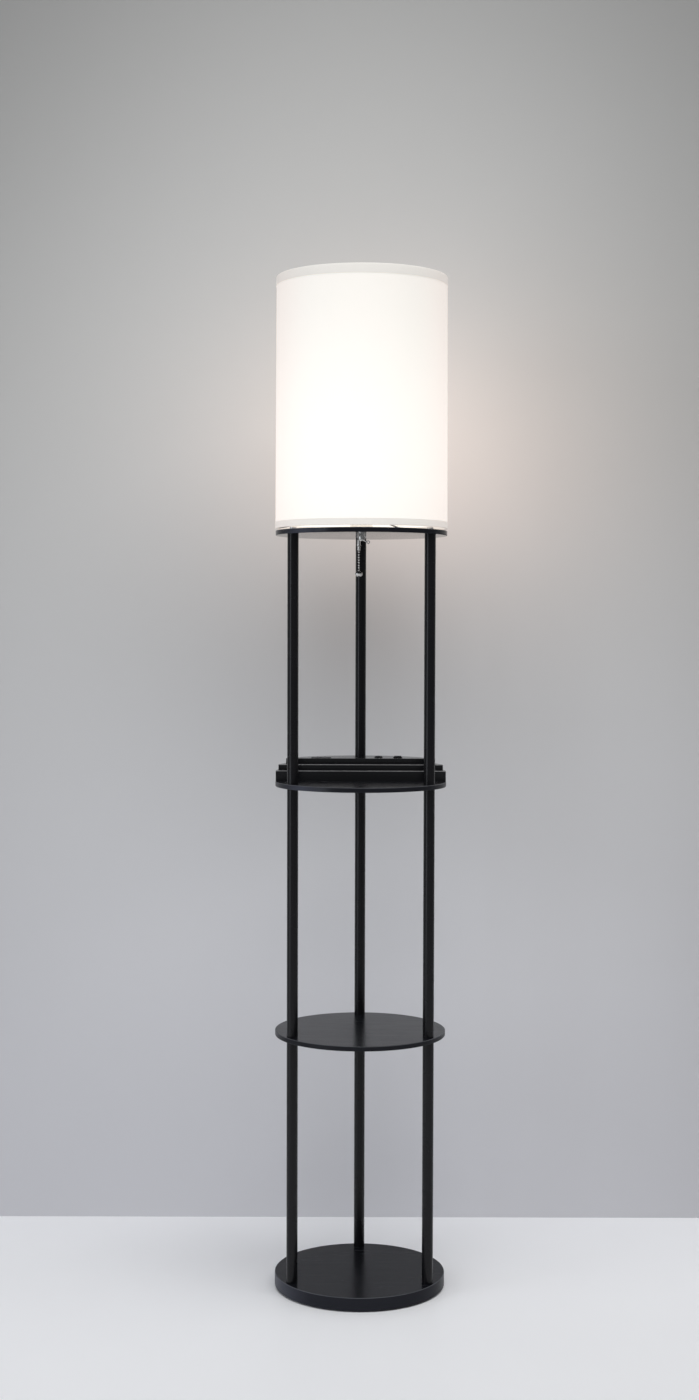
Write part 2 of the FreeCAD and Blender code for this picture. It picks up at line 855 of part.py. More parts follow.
# ---- leads held inside the lamp ---------------------------------------------------------------
def lamp_lead():
    x, y = place(pole_places["back"])
    high = plate_top + lead_hole_height
    low = station_shelf_top + lamp_lead_height
    points = [
        Vector(0, cap_radius - cap_wall - lead_tail, high),
        Vector(0, y, high),
        Vector(0, y, low),
        Vector(0, terminal_back, low),
    ]
    return swept(route(points, [lead_top_bend, lead_bend]), lead_radius)


def mains_lead():
    outside = gland_point(cover_radius)
    inside = gland_point(mains_lead_turn)
    high = station_shelf_top + mains_lead_height
    corner = Vector(-terminal_pitch, terminal_back + mains_lead_stub, high)
    end = Vector(-terminal_pitch, terminal_back, high)
    return swept(route([outside, inside, corner, end], mains_lead_bends), lead_radius)


def switch_lead():
    height = plate_top + lead_hole_height
    start = Vector(0, switch_y + switch_body_radius + push_gap, height)
    return rod(start, Vector(0, -cap_radius + cap_wall + lead_tail, height), switch_lead_radius)


# ---- lamp socket and bulb ---------------------------------------------------------------------
def socket_nipple():
    return tube(nipple_radius, nipple_bore, plate_bottom - nipple_below, plate_top + nipple_above)


def socket_locknut():
    low = plate_bottom - locknut_height
    nut = hexagon(locknut_flat_half, low, plate_bottom, 0, 0)
    return nut.cut(cylinder(nipple_radius + thread_gap, low - 1, plate_bottom + 1))


def socket_cap():
    foot = plate_top
    outline = [
        (nipple_radius + thread_gap, foot),
        (cap_boss_radius, foot),
        (cap_boss_radius, foot + 1.5),
        (cap_radius, foot + cap_shoulder),
        (cap_radius, foot + cap_height),
        (cap_radius - cap_wall, foot + cap_height),
        (cap_radius - cap_wall, foot + cap_shoulder + cap_wall),
        (nipple_radius + thread_gap, foot + cap_shoulder + cap_wall),
    ]
    cap = turned(outline)
    height = plate_top + lead_hole_height
    for side, radius in ((1, lead_radius), (-1, switch_lead_radius)):
        inner = Vector(0, side * (cap_radius - 2 * cap_wall), height)
        outer = Vector(0, side * (cap_radius + cap_wall), height)
        cap = cap.cut(rod(inner, outer, radius + push_gap))
    return cap


def socket_bottom():
    return plate_top + cap_height


def socket_body():
    low = socket_bottom()
    high = low + socket_height
    step = low - 2.0
    outline = [
        (1.5, step),
        (cap_radius - cap_wall - push_gap, step),
        (cap_radius - cap_wall - push_gap, low),
        (socket_radius, low),
        (socket_radius, high),
        (socket_bore, high),
        (socket_bore, low + socket_floor),
        (1.5, low + socket_floor),
    ]
    return turned(outline)


def socket_screw_shell():
    high = socket_bottom() + socket_height - 2
    return tube(screw_shell_radius, screw_shell_radius - screw_shell_wall, high - screw_shell_height, high)


def socket_contact():
    low = socket_bottom() + socket_floor
    rivet = cylinder(1.4, socket_bottom() - 3, low + 0.5)
    return fused([cylinder(contact_radius, low, low + contact_thickness), rivet])


def fitter_low():
    return socket_bottom()


def socket_ring():
    low = fitter_low() + fitter_thickness
    return tube(ring_radius, socket_radius + thread_gap, low, low + ring_height)


def bulb_low():
    return socket_bottom() + socket_floor + contact_thickness


def bulb_base():
    low = bulb_low()
    high = low + bulb_base_height
    outline = [
        (0.0, low),
        (bulb_tip_radius, low),
        (bulb_tip_radius, low + 1.2),
        (bulb_base_radius - 3, low + bulb_tip_height),
        (bulb_base_radius, low + bulb_tip_height + 1.5),
        (bulb_base_radius, high),
        (0.0, high),
    ]
    return turned(outline)


def bulb_outline(radius, neck, low, top):
    # a straight neck, a tangent flare and a ball, turned round the lamp's axis
    centre = top - radius
    start = low + bulb_neck_height
    away = centre - start
    reach = math.hypot(neck, away)
    lean = math.atan2(neck, -away)
    open_angle = math.acos(radius / reach)
    touch = lean - open_angle
    tangent = Vector(radius * math.sin(touch), 0, centre + radius * math.cos(touch))
    side = Vector(radius * math.sin(touch / 2), 0, centre + radius * math.cos(touch / 2))
    edges = [
        Part.LineSegment(Vector(0, 0, low), Vector(neck, 0, low)).toShape(),
        Part.LineSegment(Vector(neck, 0, low), Vector(neck, 0, start)).toShape(),
        Part.LineSegment(Vector(neck, 0, start), tangent).toShape(),
        Part.Arc(tangent, side, Vector(0, 0, top)).toShape(),
        Part.LineSegment(Vector(0, 0, top), Vector(0, 0, low)).toShape(),
    ]
    return Part.Face(Part.Wire(edges)).revolve(Vector(0, 0, 0), UP, 360)


def bulb_glass():
    low = bulb_low() + bulb_base_height
    top = bulb_low() + bulb_length
    outer = bulb_outline(bulb_radius, bulb_neck_radius, low, top)
    inner_neck = bulb_neck_radius - bulb_glass_wall
    inner = bulb_outline(bulb_radius - bulb_glass_wall, inner_neck, low - 1, top - bulb_glass_wall)
    return outer.cut(inner)


# ---- pull switch and chain --------------------------------------------------------------------
def pull_switch_body():
    body = cylinder(switch_body_radius, plate_top, plate_top + switch_body_height, 0, switch_y)
    bushing = cylinder(bushing_radius, plate_bottom - bushing_below, plate_top + 1, 0, switch_y)
    bore = cylinder(bushing_bore, plate_bottom - bushing_below - 1, plate_top + 8, 0, switch_y)
    return fused([body, bushing]).cut(bore)


def pull_switch_nut():
    low = plate_bottom - switch_nut_height
    nut = hexagon(switch_nut_flat_half, low, plate_bottom, 0, switch_y)
    return nut.cut(cylinder(bushing_radius + thread_gap, low - 1, plate_bottom + 1, 0, switch_y))


def chain_guide():
    collar_top = plate_bottom - switch_nut_height
    collar_low = collar_top - guide_collar_height
    collar = cylinder(guide_collar_radius, collar_low, collar_top, 0, switch_y)
    thread_low = collar_low + guide_collar_floor
    thread = cylinder(bushing_radius + thread_gap, thread_low, collar_top + 1, 0, switch_y)
    elbow = Vector(guide_arm_x, switch_y, plate_bottom - guide_elbow_drop)
    mouth = Vector(guide_arm_x, switch_y, plate_bottom - guide_mouth_drop)
    root = Vector(0, switch_y, elbow.z + guide_root_rise)
    eye = Vector(eye_centre[0], switch_y, plate_bottom - eye_centre[1])
    toward_root = (root - eye).normalize()
    solids = [
        collar,
        rod(root, elbow, guide_arm_radius),
        Part.makeSphere(guide_arm_radius, elbow),
        rod(elbow, mouth, guide_arm_radius),
        cylinder(guide_arm_radius + guide_mouth_lip, mouth.z, mouth.z + guide_lip_height, mouth.x, mouth.y),
    ]
    bores = [
        thread,
        rod(root, elbow, guide_arm_bore),
        Part.makeSphere(guide_arm_bore, elbow),
        rod(elbow, mouth - UP, guide_arm_bore),
    ]
    arm = fused(solids).cut(fused(bores))
    # the ball closes the arm's root, round the way from the bushing into the arm
    ball = Part.makeSphere(guide_ball_radius, root).cut(thread)
    way = fused([Part.makeSphere(bushing_bore, root), rod(root, elbow, guide_arm_bore)])
    ball_side = root - toward_root * (bushing_bore + eye_arm_inset)
    ring_arm = rod(ball_side, eye + toward_root * eye_ring_radius, eye_arm_radius)
    ring = Part.makeTorus(eye_ring_radius, eye_wire_radius, eye, Vector(0, 1, 0))
    return arm.fuse(ball).cut(way).fuse(ring_arm).fuse(ring)


def bead_heights():
    # from the top bead, inside the guide, down to the last one, inside the fob
    top = plate_bottom - guide_elbow_drop - bead_radius - top_bead_gap
    count = beads_in_guide + beads_in_connector + beads_below + 1
    return [top - bead_pitch * k for k in range(count)]


def connector_span():
    heights = bead_heights()
    high = plate_bottom - guide_mouth_drop - connector_gap
    last = heights[beads_in_guide + beads_in_connector - 1]
    return last - bead_radius - connector_gap, high


def chain_connector():
    low, high = connector_span()
    outline = [
        (connector_bore, low),
        (connector_radius - 0.3, low),
        (connector_radius, low + 0.8),
        (connector_radius, high - 0.8),
        (connector_radius - 0.3, high),
        (connector_bore, high),
    ]
    return turned(outline, guide_arm_x, switch_y)


def pull_chain():
    heights = bead_heights()
    places = [Vector(guide_arm_x, switch_y, height) for height in heights]
    beads = [Part.makeSphere(bead_radius, centre) for centre in places]
    wire = cylinder(bead_wire_radius, heights[-1], heights[0], guide_arm_x, switch_y)
    return fused([wire] + beads)


def chain_fob():
    last = bead_heights()[-1]
    high = last + bead_radius + fob_roof
    low = high - fob_height
    outline = [
        (bead_wire_radius + slip_gap, high),
        (fob_neck_radius, high),
        (fob_neck_radius + 0.6, high - 1.0),
        (fob_radius * 0.8, high - 1.8),
        (fob_radius, high - 3.6),
        (fob_radius * 0.97, high - 5.2),
        (fob_radius * 0.8, high - 7.4),
        (fob_radius * 0.5, low + 0.5),
        (0.0, low),
        (0.0, last - fob_pocket_radius),
        (fob_pocket_radius, last - fob_pocket_radius),
        (fob_pocket_radius, high - fob_roof),
        (bead_wire_radius + slip_gap, high - fob_roof),
    ]
    return turned(outline, guide_arm_x, switch_y)


# ---- shade ------------------------------------------------------------------------------------
def shade_low():
    return plate_top + shade_gap


def shade_high():
    return shade_low() + shade_height


def panel_radius(height):
    share = (height - shade_low()) / shade_height
    return shade_bottom_radius + (shade_top_radius - shade_bottom_radius) * share


def shade_panel():
    low = shade_low()
    high = shade_high()
    outline = [
        (panel_radius(low), low),
        (panel_radius(high), high),
        (panel_radius(high) - panel_thickness, high),
        (panel_radius(low) - panel_thickness, low),
    ]
    return turned(outline)


def hem(edge, outer_height, inward):
    # a tape folded over the panel's edge and the wire ring: outside leg, cap, inside leg
    away = -inward
    outer_end = edge + inward * outer_height
    inner_end = edge + inward * hem_inner_height
    lip = edge + away * hem_gap
    cap = lip + away * hem_thickness
    inside_edge = panel_thickness + 2 * ring_wire_radius + 2 * ring_wire_inset
    outline = [
        (panel_radius(outer_end) + hem_gap, outer_end),
        (panel_radius(outer_end) + hem_gap + hem_thickness, outer_end),
        (panel_radius(edge) + hem_gap + hem_thickness, cap),
        (panel_radius(edge) - inside_edge - hem_thickness, cap),
        (panel_radius(edge) - inside_edge - hem_thickness, inner_end),
        (panel_radius(edge) - inside_edge, inner_end),
        (panel_radius(edge) - inside_edge, lip),
        (panel_radius(edge) + hem_gap, lip),
    ]
    return turned(outline)


def shade_top_hem():
    return hem(shade_high(), top_hem_height, -1)


def shade_bottom_hem():
    slotted = hem(shade_low(), bottom_hem_height, 1)
    # the tape is slit where a spoke meets the ring
    for angle in spoke_angles:
        start, end = spoke_line(angle)
        slotted = slotted.cut(rod(start, end, ring_wire_radius + slip_gap))
    return slotted


def ring_centre(edge, inward):
    radius = panel_radius(edge) - panel_thickness - ring_wire_inset - ring_wire_radius
    return radius, edge + inward * (ring_wire_radius + ring_wire_inset)


def wire_ring(edge, inward):
    radius, height = ring_centre(edge, inward)
    return Part.makeTorus(radius, ring_wire_radius, Vector(0, 0, height), UP)


def spoke_line(angle):
    radius, height = ring_centre(shade_low(), 1)
    outer_x, outer_y = place(angle, radius)
    inner_x, inner_y = place(angle, fitter_radius - 1.5)
    inner_height = fitter_low() + ring_wire_radius
    return Vector(inner_x, inner_y, inner_height), Vector(outer_x, outer_y, height)


def shade_top_ring():
    return wire_ring(shade_high(), -1)


def shade_frame():
    washer = tube(fitter_radius, socket_radius + slip_gap, fitter_low(), fitter_low() + fitter_thickness)
    spokes = [rod(*spoke_line(angle), ring_wire_radius) for angle in spoke_angles]
    return fused([wire_ring(shade_low(), 1), washer] + spokes)


# ---- every node, each written as one file -----------------------------------------------------
makers = [
    base_board, foot_pads, base_screws, base_washers, pole_inserts, joining_studs, lower_shelf,
    station_shelf, station_cover, station_tray, station_screws, charger_board, board_components,
    terminal_block, usb_ports, usb_tongues, ac_outlet, outlet_contacts, rocker_frame, rocker_paddle,
    button_bezel, button_cap, button_switch, cord_gland, mains_lead, lamp_lead, top_plate,
    plate_screws, lead_nipple, lead_nipple_nut, socket_nipple, socket_locknut, socket_cap,
    socket_body, socket_screw_shell, socket_contact, socket_ring, bulb_base, bulb_glass,
    switch_lead, pull_switch_body, pull_switch_nut, chain_guide, chain_connector, pull_chain,
    chain_fob, shade_panel, shade_top_ring, shade_frame, shade_top_hem, shade_bottom_hem,
]


def main():
    os.makedirs("parts", exist_ok=True)
    nodes = {maker.__name__: maker() for maker in makers}
    for level in pole_levels:
        for where in pole_places:
            nodes[level + "_pole_" + where] = pole(level, where)
    for name, shape in nodes.items():
        whole = Part.makeCompound(shape) if isinstance(shape, list) else shape
        whole.exportStep("parts/" + name + ".step")
        print(name, len(whole.Solids), "solids", whole.isValid(), round(whole.Volume))


main()
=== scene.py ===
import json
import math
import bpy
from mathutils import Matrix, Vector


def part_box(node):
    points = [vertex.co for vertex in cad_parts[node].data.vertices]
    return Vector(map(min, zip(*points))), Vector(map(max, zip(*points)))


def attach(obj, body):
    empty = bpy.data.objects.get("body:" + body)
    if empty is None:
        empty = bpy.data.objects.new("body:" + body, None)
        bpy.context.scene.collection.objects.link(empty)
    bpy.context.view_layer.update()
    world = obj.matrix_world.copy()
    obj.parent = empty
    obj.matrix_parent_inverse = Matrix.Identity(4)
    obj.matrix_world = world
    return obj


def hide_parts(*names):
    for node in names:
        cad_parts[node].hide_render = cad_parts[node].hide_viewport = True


bl_info = {
    "name": "Shelf Floor Lamp",
    "version": (1, 0, 0),
    "blender": (4, 5, 0),
    "location": "View3D > Sidebar > Lamp",
    "description": "Finishes a shelf floor lamp: cloth shade, felt feet, leads, materials and a stage",
    "category": "Object",
}

import bmesh
import bpy
from mathutils import Matrix, Vector

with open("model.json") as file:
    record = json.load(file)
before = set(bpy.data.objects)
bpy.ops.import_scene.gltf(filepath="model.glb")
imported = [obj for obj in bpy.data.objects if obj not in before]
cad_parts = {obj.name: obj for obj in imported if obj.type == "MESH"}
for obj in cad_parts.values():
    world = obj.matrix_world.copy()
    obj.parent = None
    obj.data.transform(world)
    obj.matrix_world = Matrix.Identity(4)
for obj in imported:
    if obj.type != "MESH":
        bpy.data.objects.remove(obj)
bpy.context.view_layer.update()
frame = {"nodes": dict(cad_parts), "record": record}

# ---- places read from the frame, in metres ----------------------------------------------------
PANEL_LOW, PANEL_HIGH = (corner.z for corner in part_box("shade_panel"))
PANEL_FOOT_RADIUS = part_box("shade_panel")[1].x
BULB_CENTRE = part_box("bulb_glass")[1].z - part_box("bulb_glass")[1].x
PAD_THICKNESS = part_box("foot_pads")[1].z
TOP_PLATE_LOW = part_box("top_plate")[0].z
BOARD_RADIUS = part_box("base_board")[1].x
COVER_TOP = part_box("station_cover")[1].z

# ---- the charging unit's steps: the y of each front and its height above the shelf ------------
STEPS = ((0.002, 0.0172), (0.032, 0.0258), (0.065, 0.034))

# ---- the shade's lap, and the slits that let the frame's spokes through its bottom tape -------
SEAM_ANGLE = math.radians(62.0)
SLIT_HEIGHT = 0.0042
SPOKE_ANGLES = tuple(math.radians(turn) for turn in (55.0, 175.0, 295.0))

# ---- heights between two boards, over which one board's look gives way to the next one's ------
OVER_BASE = (0.03, 0.3)
OVER_LOWER_SHELF = (0.6, 0.8)
OVER_UPPER_SHELF = (TOP_PLATE_LOW - 0.2, TOP_PLATE_LOW - 0.1)

# ---- the lamp lead's route, from the socket over the plate and down the back pole -------------
LAMP_LEAD_ROUTE = (
    (0.0, 0.0167, 1.293),
    (0.0, 0.034, 1.2935),
    (0.0, 0.062, 1.2875),
    (0.0, 0.090, 1.286),
    (0.0, 0.1135, 1.2935),
    (0.0, 0.1305, 1.2955),
    (0.0, 0.1305, 1.274),
    (0.0, 0.1305, 0.905),
    (0.0, 0.1305, 0.887),
    (0.0, 0.112, 0.887),
)


# ---- what a user would change -----------------------------------------------------------------
class LampSizes(bpy.types.PropertyGroup):
    """Sizes of the pieces that are modelled here"""

    shade_taper: bpy.props.FloatProperty(
        name="Shade Taper", description="How much smaller the shade's radius is at its top",
        default=0.0015, unit="LENGTH")
    cloth_thickness: bpy.props.FloatProperty(
        name="Cloth Thickness", description="The shade's stiff cloth, with its lining",
        default=0.0008, unit="LENGTH")
    seam_width: bpy.props.FloatProperty(
        name="Seam Width", description="How far the cloth laps over itself at the back",
        default=0.012, unit="LENGTH")
    tape_thickness: bpy.props.FloatProperty(
        name="Tape Thickness", description="The tape that is folded over the shade's two edges",
        default=0.0005, unit="LENGTH")
    top_tape_height: bpy.props.FloatProperty(
        name="Top Tape Height", description="How far the top tape shows down the outside",
        default=0.015, unit="LENGTH")
    bottom_tape_height: bpy.props.FloatProperty(
        name="Bottom Tape Height", description="How far the bottom tape shows up the outside",
        default=0.0107, unit="LENGTH")
    tape_inside_height: bpy.props.FloatProperty(
        name="Tape Inside Height", description="How far each tape reaches on the inside",
        default=0.008, unit="LENGTH")
    lead_diameter: bpy.props.FloatProperty(
        name="Lead Diameter", description="The lamp lead that crosses the top plate",
        default=0.005, unit="LENGTH")
    switch_lead_diameter: bpy.props.FloatProperty(
        name="Switch Lead Diameter", description="The short lead from the pull switch to the socket",
        default=0.004, unit="LENGTH")
    foot_diameter: bpy.props.FloatProperty(
        name="Foot Diameter", description="The felt feet under the base",
        default=0.024, unit="LENGTH")
    foot_circle: bpy.props.FloatProperty(
        name="Foot Circle", description="The radius that the felt feet stand on",
        default=0.115, unit="LENGTH")


class LampColours(bpy.types.PropertyGroup):
    """Colours and glow of the finishes"""

    board: bpy.props.FloatVectorProperty(
        name="Board", description="Black paint on the round boards",
        subtype="COLOR", size=3, default=(0.0070, 0.0074, 0.0096))
    steel: bpy.props.FloatVectorProperty(
        name="Poles", description="Black powder coat on the poles",
        subtype="COLOR", size=3, default=(0.0052, 0.005, 0.0062))
    unit: bpy.props.FloatVectorProperty(
        name="Charging Unit", description="Black moulded plastic",
        subtype="COLOR", size=3, default=(0.0068, 0.007, 0.0082))
    # the two edge colours below are wear and a painted highlight along rubbed edges
    rubbed_paint: bpy.props.FloatVectorProperty(
        name="Rubbed Paint", description="Black paint where it is rubbed along a board's edge",
        subtype="COLOR", size=3, default=(0.095, 0.098, 0.108))
    rubbed_plastic: bpy.props.FloatVectorProperty(
        name="Rubbed Plastic", description="Black plastic where it is rubbed along an edge",
        subtype="COLOR", size=3, default=(0.32, 0.32, 0.325))
    cloth: bpy.props.FloatVectorProperty(
        name="Cloth", description="Off-white shade cloth, unlit",
        subtype="COLOR", size=3, default=(0.62, 0.60, 0.565))
    glow: bpy.props.FloatVectorProperty(
        name="Glow", description="The colour of the lit cloth",
        subtype="COLOR", size=3, default=(1.0, 0.955, 0.89))
    glow_strength: bpy.props.FloatProperty(
        name="Glow Strength", description="How brightly the cloth is lit from inside",
        default=0.62, min=0.0, soft_max=4.0)


# ---- shader maths -----------------------------------------------------------------------------
class Signal:
    """One output socket, written into Python arithmetic as a number that varies over a surface"""

    def __init__(self, finish, socket):
        self.finish = finish
        self.socket = socket

    def maths(self, operation, first, second=0.0):
        """A new signal worked out from one or two numbers or signals"""
        made = self.finish.node("Math", {"operation": operation}, {0: first, 1: second})
        return Signal(self.finish, made.outputs[0])

    def __add__(self, other):
        return self.maths("ADD", self, other)

    def __radd__(self, other):
        return self.maths("ADD", other, self)

    def __sub__(self, other):
        return self.maths("SUBTRACT", self, other)

    def __rsub__(self, other):
        return self.maths("SUBTRACT", other, self)

    def __mul__(self, other):
        return self.maths("MULTIPLY", self, other)

    def __rmul__(self, other):
        return self.maths("MULTIPLY", other, self)

    def __truediv__(self, other):
        return self.maths("DIVIDE", self, other)

    def __pow__(self, other):
        return self.maths("POWER", self, other)

    def __gt__(self, other):
        return self.maths("GREATER_THAN", self, other)

    def sine(self):
        """Its sine, for threads and stripes that repeat"""
        return self.maths("SINE", self)

    def size(self):
        """The number without its sign"""
        return self.maths("ABSOLUTE", self)

    def at_least(self, other):
        """The larger of the two"""
        return self.maths("MAXIMUM", self, other)

    def around(self, other):
        """The angle round Z of a place, from its y and its x"""
        return self.maths("ARCTAN2", self, other)

    def bell(self):
        """1 at zero, falling away smoothly on both sides"""
        return self.maths("EXPONENT", -1.0 * self * self)


class Finish:
    """One material: its nodes, and the Principled shader that they feed"""

    def __init__(self, name, **constants):
        self.material = bpy.data.materials.new(name)
        self.material.use_nodes = True
        self.tree = self.material.node_tree
        self.shader = self.tree.nodes["Principled BSDF"]
        self.places = None
        for socket, value in constants.items():
            self.set(socket.replace("_", " "), value)

    def set(self, socket, value):
        """Feeds a signal to one of the main shader's sockets, or sets it"""
        self.feed(self.shader.inputs[socket], value)

    def feed(self, socket, value):
        """Feeds a signal to any node's socket, or sets it"""
        if isinstance(value, Signal):
            self.tree.links.new(value.socket, socket)
        elif socket.type == "RGBA" and len(value) == 3:
            socket.default_value = (*value, 1.0)
        else:
            socket.default_value = value

    def node(self, kind, settings=None, inputs=None):
        """Any node, by its type, its settings and what its sockets hold"""
        made = self.tree.nodes.new("ShaderNode" + kind)
        for name, value in (settings or {}).items():
            setattr(made, name, value)
        for socket, value in (inputs or {}).items():
            self.feed(made.inputs[socket], value)
        return made

    def output(self, node, socket=0):
        """One of a node's outputs, as a signal"""
        return Signal(self, node.outputs[socket])

    def place(self):
        """Object coordinates, in metres"""
        if self.places is None:
            self.places = self.node("TexCoord")
        return self.output(self.places, "Object")

    def stretched(self, scale, turn=(0.0, 0.0, 0.0)):
        """Object coordinates, scaled differently along each axis"""
        mapped = self.node("Mapping", {}, {"Vector": self.place(), "Scale": scale, "Rotation": turn})
        return self.output(mapped)

    def axes(self):
        """Object coordinates as three numbers"""
        split = self.node("SeparateXYZ", {}, {0: self.place()})
        return [self.output(split, k) for k in range(3)]

    def tilts(self):
        """Which way the surface faces, as three numbers"""
        split = self.node("SeparateXYZ", {}, {0: self.output(self.node("NewGeometry"), "Normal")})
        return [self.output(split, k) for k in range(3)]

    def noise(self, scale, detail=3.0, roughness=0.55, vector=None):
        """Soft, cloudy variation: how many clouds there are to a metre, and the finer layers in them"""
        made = self.node("TexNoise", {}, {
            "Vector": vector or self.place(), "Scale": scale, "Detail": detail, "Roughness": roughness})
        return self.output(made)

    def cells(self, scale):
        """Grains of about one size, packed side by side: how many there are to a metre"""
        made = self.node("TexVoronoi", {}, {"Vector": self.place(), "Scale": scale})
        return self.output(made)

    def ramp(self, value, low, high, to_low=0.0, to_high=1.0):
        """A number remapped smoothly from one span to another"""
        made = self.node("MapRange", {"interpolation_type": "SMOOTHSTEP"}, {
            0: value, 1: low, 2: high, 3: to_low, 4: to_high})
        return self.output(made)

    def blend(self, share, first, second):
        """Two colours mixed by a share from 0 to 1"""
        made = self.node("Mix", {"data_type": "RGBA"}, {0: share, 6: first, 7: second})
        return self.output(made, 2)

    def varied(self, share, colour, darkest, palest):
        """One colour, from its darkest shade to its palest by a share from 0 to 1"""
        shades = [tuple(min(part * factor, 1.0) for part in colour) for factor in (darkest, palest)]
        return self.blend(share, *shades)

    def tint(self, colour, share):
        """A colour times a number"""
        made = self.node("VectorMath", {"operation": "SCALE"}, {0: colour, "Scale": share})
        return self.output(made)

    def bumps(self, height, distance):
        """Lays a height, in steps of the given distance in metres, on the main shader's normal"""
        made = self.node("Bump", {}, {"Height": height, "Distance": distance, "Strength": 1.0})
        self.set("Normal", self.output(made))


# ---- finishes ---------------------------------------------------------------------------------
def painted_board(colours):
    """Black paint over pressed board, with brushed grain. Every rim is painted paler with a speckle,
    most on the base, with painted highlights from the left; the rounded top edges have wear and a
    painted highlight, and the plate at the top is the smoothest. The two shelves have a thin clear coat"""
    made = Finish("painted_board", IOR=1.17, Coat_Roughness=0.22, Coat_IOR=1.45)
    across, along, up = made.axes()
    brush_turn = (0.0, 0.0, math.radians(35.0))
    fibres = made.noise(14.0, 5.0, 0.6, made.stretched((4.0, 55.0, 55.0)))
    brushed = made.noise(9.0, 4.0, 0.6, made.stretched((1.4, 26.0, 26.0), brush_turn))
    pores = made.noise(900.0, 2.0)
    clouds = made.noise(9.0, 3.0)
    rim_starts = BOARD_RADIUS - 0.0016
    rim_full = BOARD_RADIUS - 0.0006
    rim = made.ramp((across * across + along * along) ** 0.5, rim_starts, rim_full)
    streaks = made.ramp(fibres * 0.4 + brushed * 0.6, 0.35, 0.65)
    face = made.varied(streaks, colours.board, 0.5, 1.4)

    # painted highlight: the base's rim is painted paler along its whole left end, those of the shelf
    # and plate above at one place
    left_end = -0.145
    left_fades = -0.07
    lit_base = made.ramp(across, left_end, left_fades, 2.0, 0.0) * made.ramp(up, *OVER_BASE, 1.0, 0.0)
    gleam_place = -0.098
    gleam_width = 0.026
    gleam = ((across - gleam_place) / gleam_width).bell()
    lit_shelf = gleam * made.ramp(up, *OVER_LOWER_SHELF, 0.0, 4.0)
    # painted light: every rim is painted paler with a fine speckle, most on the base, plus the painted
    # highlights above
    painted_rim_light = made.ramp(up, *OVER_BASE, 2.6, 1.5) * (0.8 + pores * 0.4) * (1.0 + lit_base + lit_shelf)
    painted = made.blend(rim, face, made.tint(tuple(colours.board), painted_rim_light))

    # only the rounded top edge leans between a flat top and an upright side; it gets wear and a painted
    # highlight
    _tilt_x, _tilt_y, tilt = made.tilts()
    rounding = made.ramp(tilt, 0.1, 0.35) * made.ramp(tilt, 0.8, 0.96, 1.0, 0.0)
    edge_wear_and_highlight = rounding * (0.5 + clouds)
    made.set("Base Color", made.blend(edge_wear_and_highlight, painted, colours.rubbed_paint))

    on_shelves = made.ramp(up, *OVER_BASE, 0.0, 1.0) * made.ramp(up, *OVER_UPPER_SHELF, 1.0, 0.0)
    made.set("Coat Weight", on_shelves * 0.13)
    scuffs = made.ramp(up, *OVER_UPPER_SHELF, 0.19, 0.03)
    made.set("Roughness", scuffs + streaks * 0.07 + clouds * 0.03 + rim * 0.1)
    made.bumps(fibres * 0.3 + brushed * 0.5 + pores * 0.2, distance=0.00007)
    return made


def coated_steel(colours):
    """Black powder coat: a fine orange peel over a satin base"""
    made = Finish("coated_steel", IOR=1.32)
    peel = made.noise(650.0, 2.0, 0.5)
    drift = made.noise(18.0, 2.0)
    made.set("Base Color", made.varied(drift, colours.steel, 0.85, 1.2))
    made.set("Roughness", 0.24 + drift * 0.06)
    made.bumps(peel, distance=0.000012)
    return made


def moulded_black(colours):
    """Black moulded plastic with a fine spark texture, with wear and a painted highlight along the two
    lower steps' edges
    """
    made = Finish("moulded_black", IOR=1.45)
    grain = made.cells(1500.0)
    drift = made.noise(25.0, 2.0)
    plain = made.varied(drift, colours.unit, 0.85, 1.15)
    _across, along, up = made.axes()
    shelf = COVER_TOP - STEPS[-1][1]
    edge_width = 0.0009
    # wear and a painted highlight along the top edges of the two lower steps
    edge_wear_and_highlight_mask = 0.0
    for front, height in STEPS[:2]:
        near_front = ((along - front) / edge_width).bell()
        near_top = ((up - (shelf + height)) / edge_width).bell()
        edge_wear_and_highlight_mask = near_front * near_top + edge_wear_and_highlight_mask
    edge_wear_and_highlight = edge_wear_and_highlight_mask * (0.7 + made.noise(45.0, 4.0, 0.6) * 0.6)
    made.set("Base Color", made.blend(edge_wear_and_highlight, plain, colours.rubbed_plastic))
    made.set("Roughness", 0.13 + grain * 0.1)
    made.bumps(grain, distance=0.00001)
    return made


def inner_black(colours):
    """Plainer black plastic of the tray, with flow marks"""
    made = Finish("inner_black")
    flow = made.noise(30.0, 3.0, 0.5, made.stretched((1.0, 5.0, 1.0)))
    made.set("Base Color", made.varied(flow, colours.unit, 1.3, 2.2))
    made.set("Roughness", 0.5 + flow * 0.1)
    return made


def device_black(colours):
    """Denser black plastic of sockets, bezel and gland"""
    made = Finish("device_black", IOR=1.5)
    grain = made.noise(2200.0, 2.0)
    made.set("Base Color", made.varied(grain, colours.unit, 1.0, 1.6))
    made.set("Roughness", 0.3 + grain * 0.12)
    made.bumps(grain, distance=0.00001)
    return made


def touched_black(colours):
    """The button and the rocker: polished where a finger rubs them"""
    made = Finish("touched_black", IOR=1.5)
    smears = made.noise(260.0, 3.0, 0.6)
    made.set("Base Color", made.varied(smears, colours.unit, 1.1, 1.5))
    made.set("Roughness", 0.16 + smears * 0.2)
    return made


def solder_mask(_colours):
    """Green circuit board with paler copper runs"""
    made = Finish("solder_mask", Roughness=0.35)
    across, along, _up = made.axes()
    runs = ((across * 1900.0).sine() * (along * 640.0).sine()).at_least(0.0)
    made.set("Base Color", made.blend(runs > 0.45, (0.012, 0.085, 0.03), (0.03, 0.16, 0.055)))
    made.set("Coat Weight", 0.3 + made.noise(90.0) * 0.2)
    return made


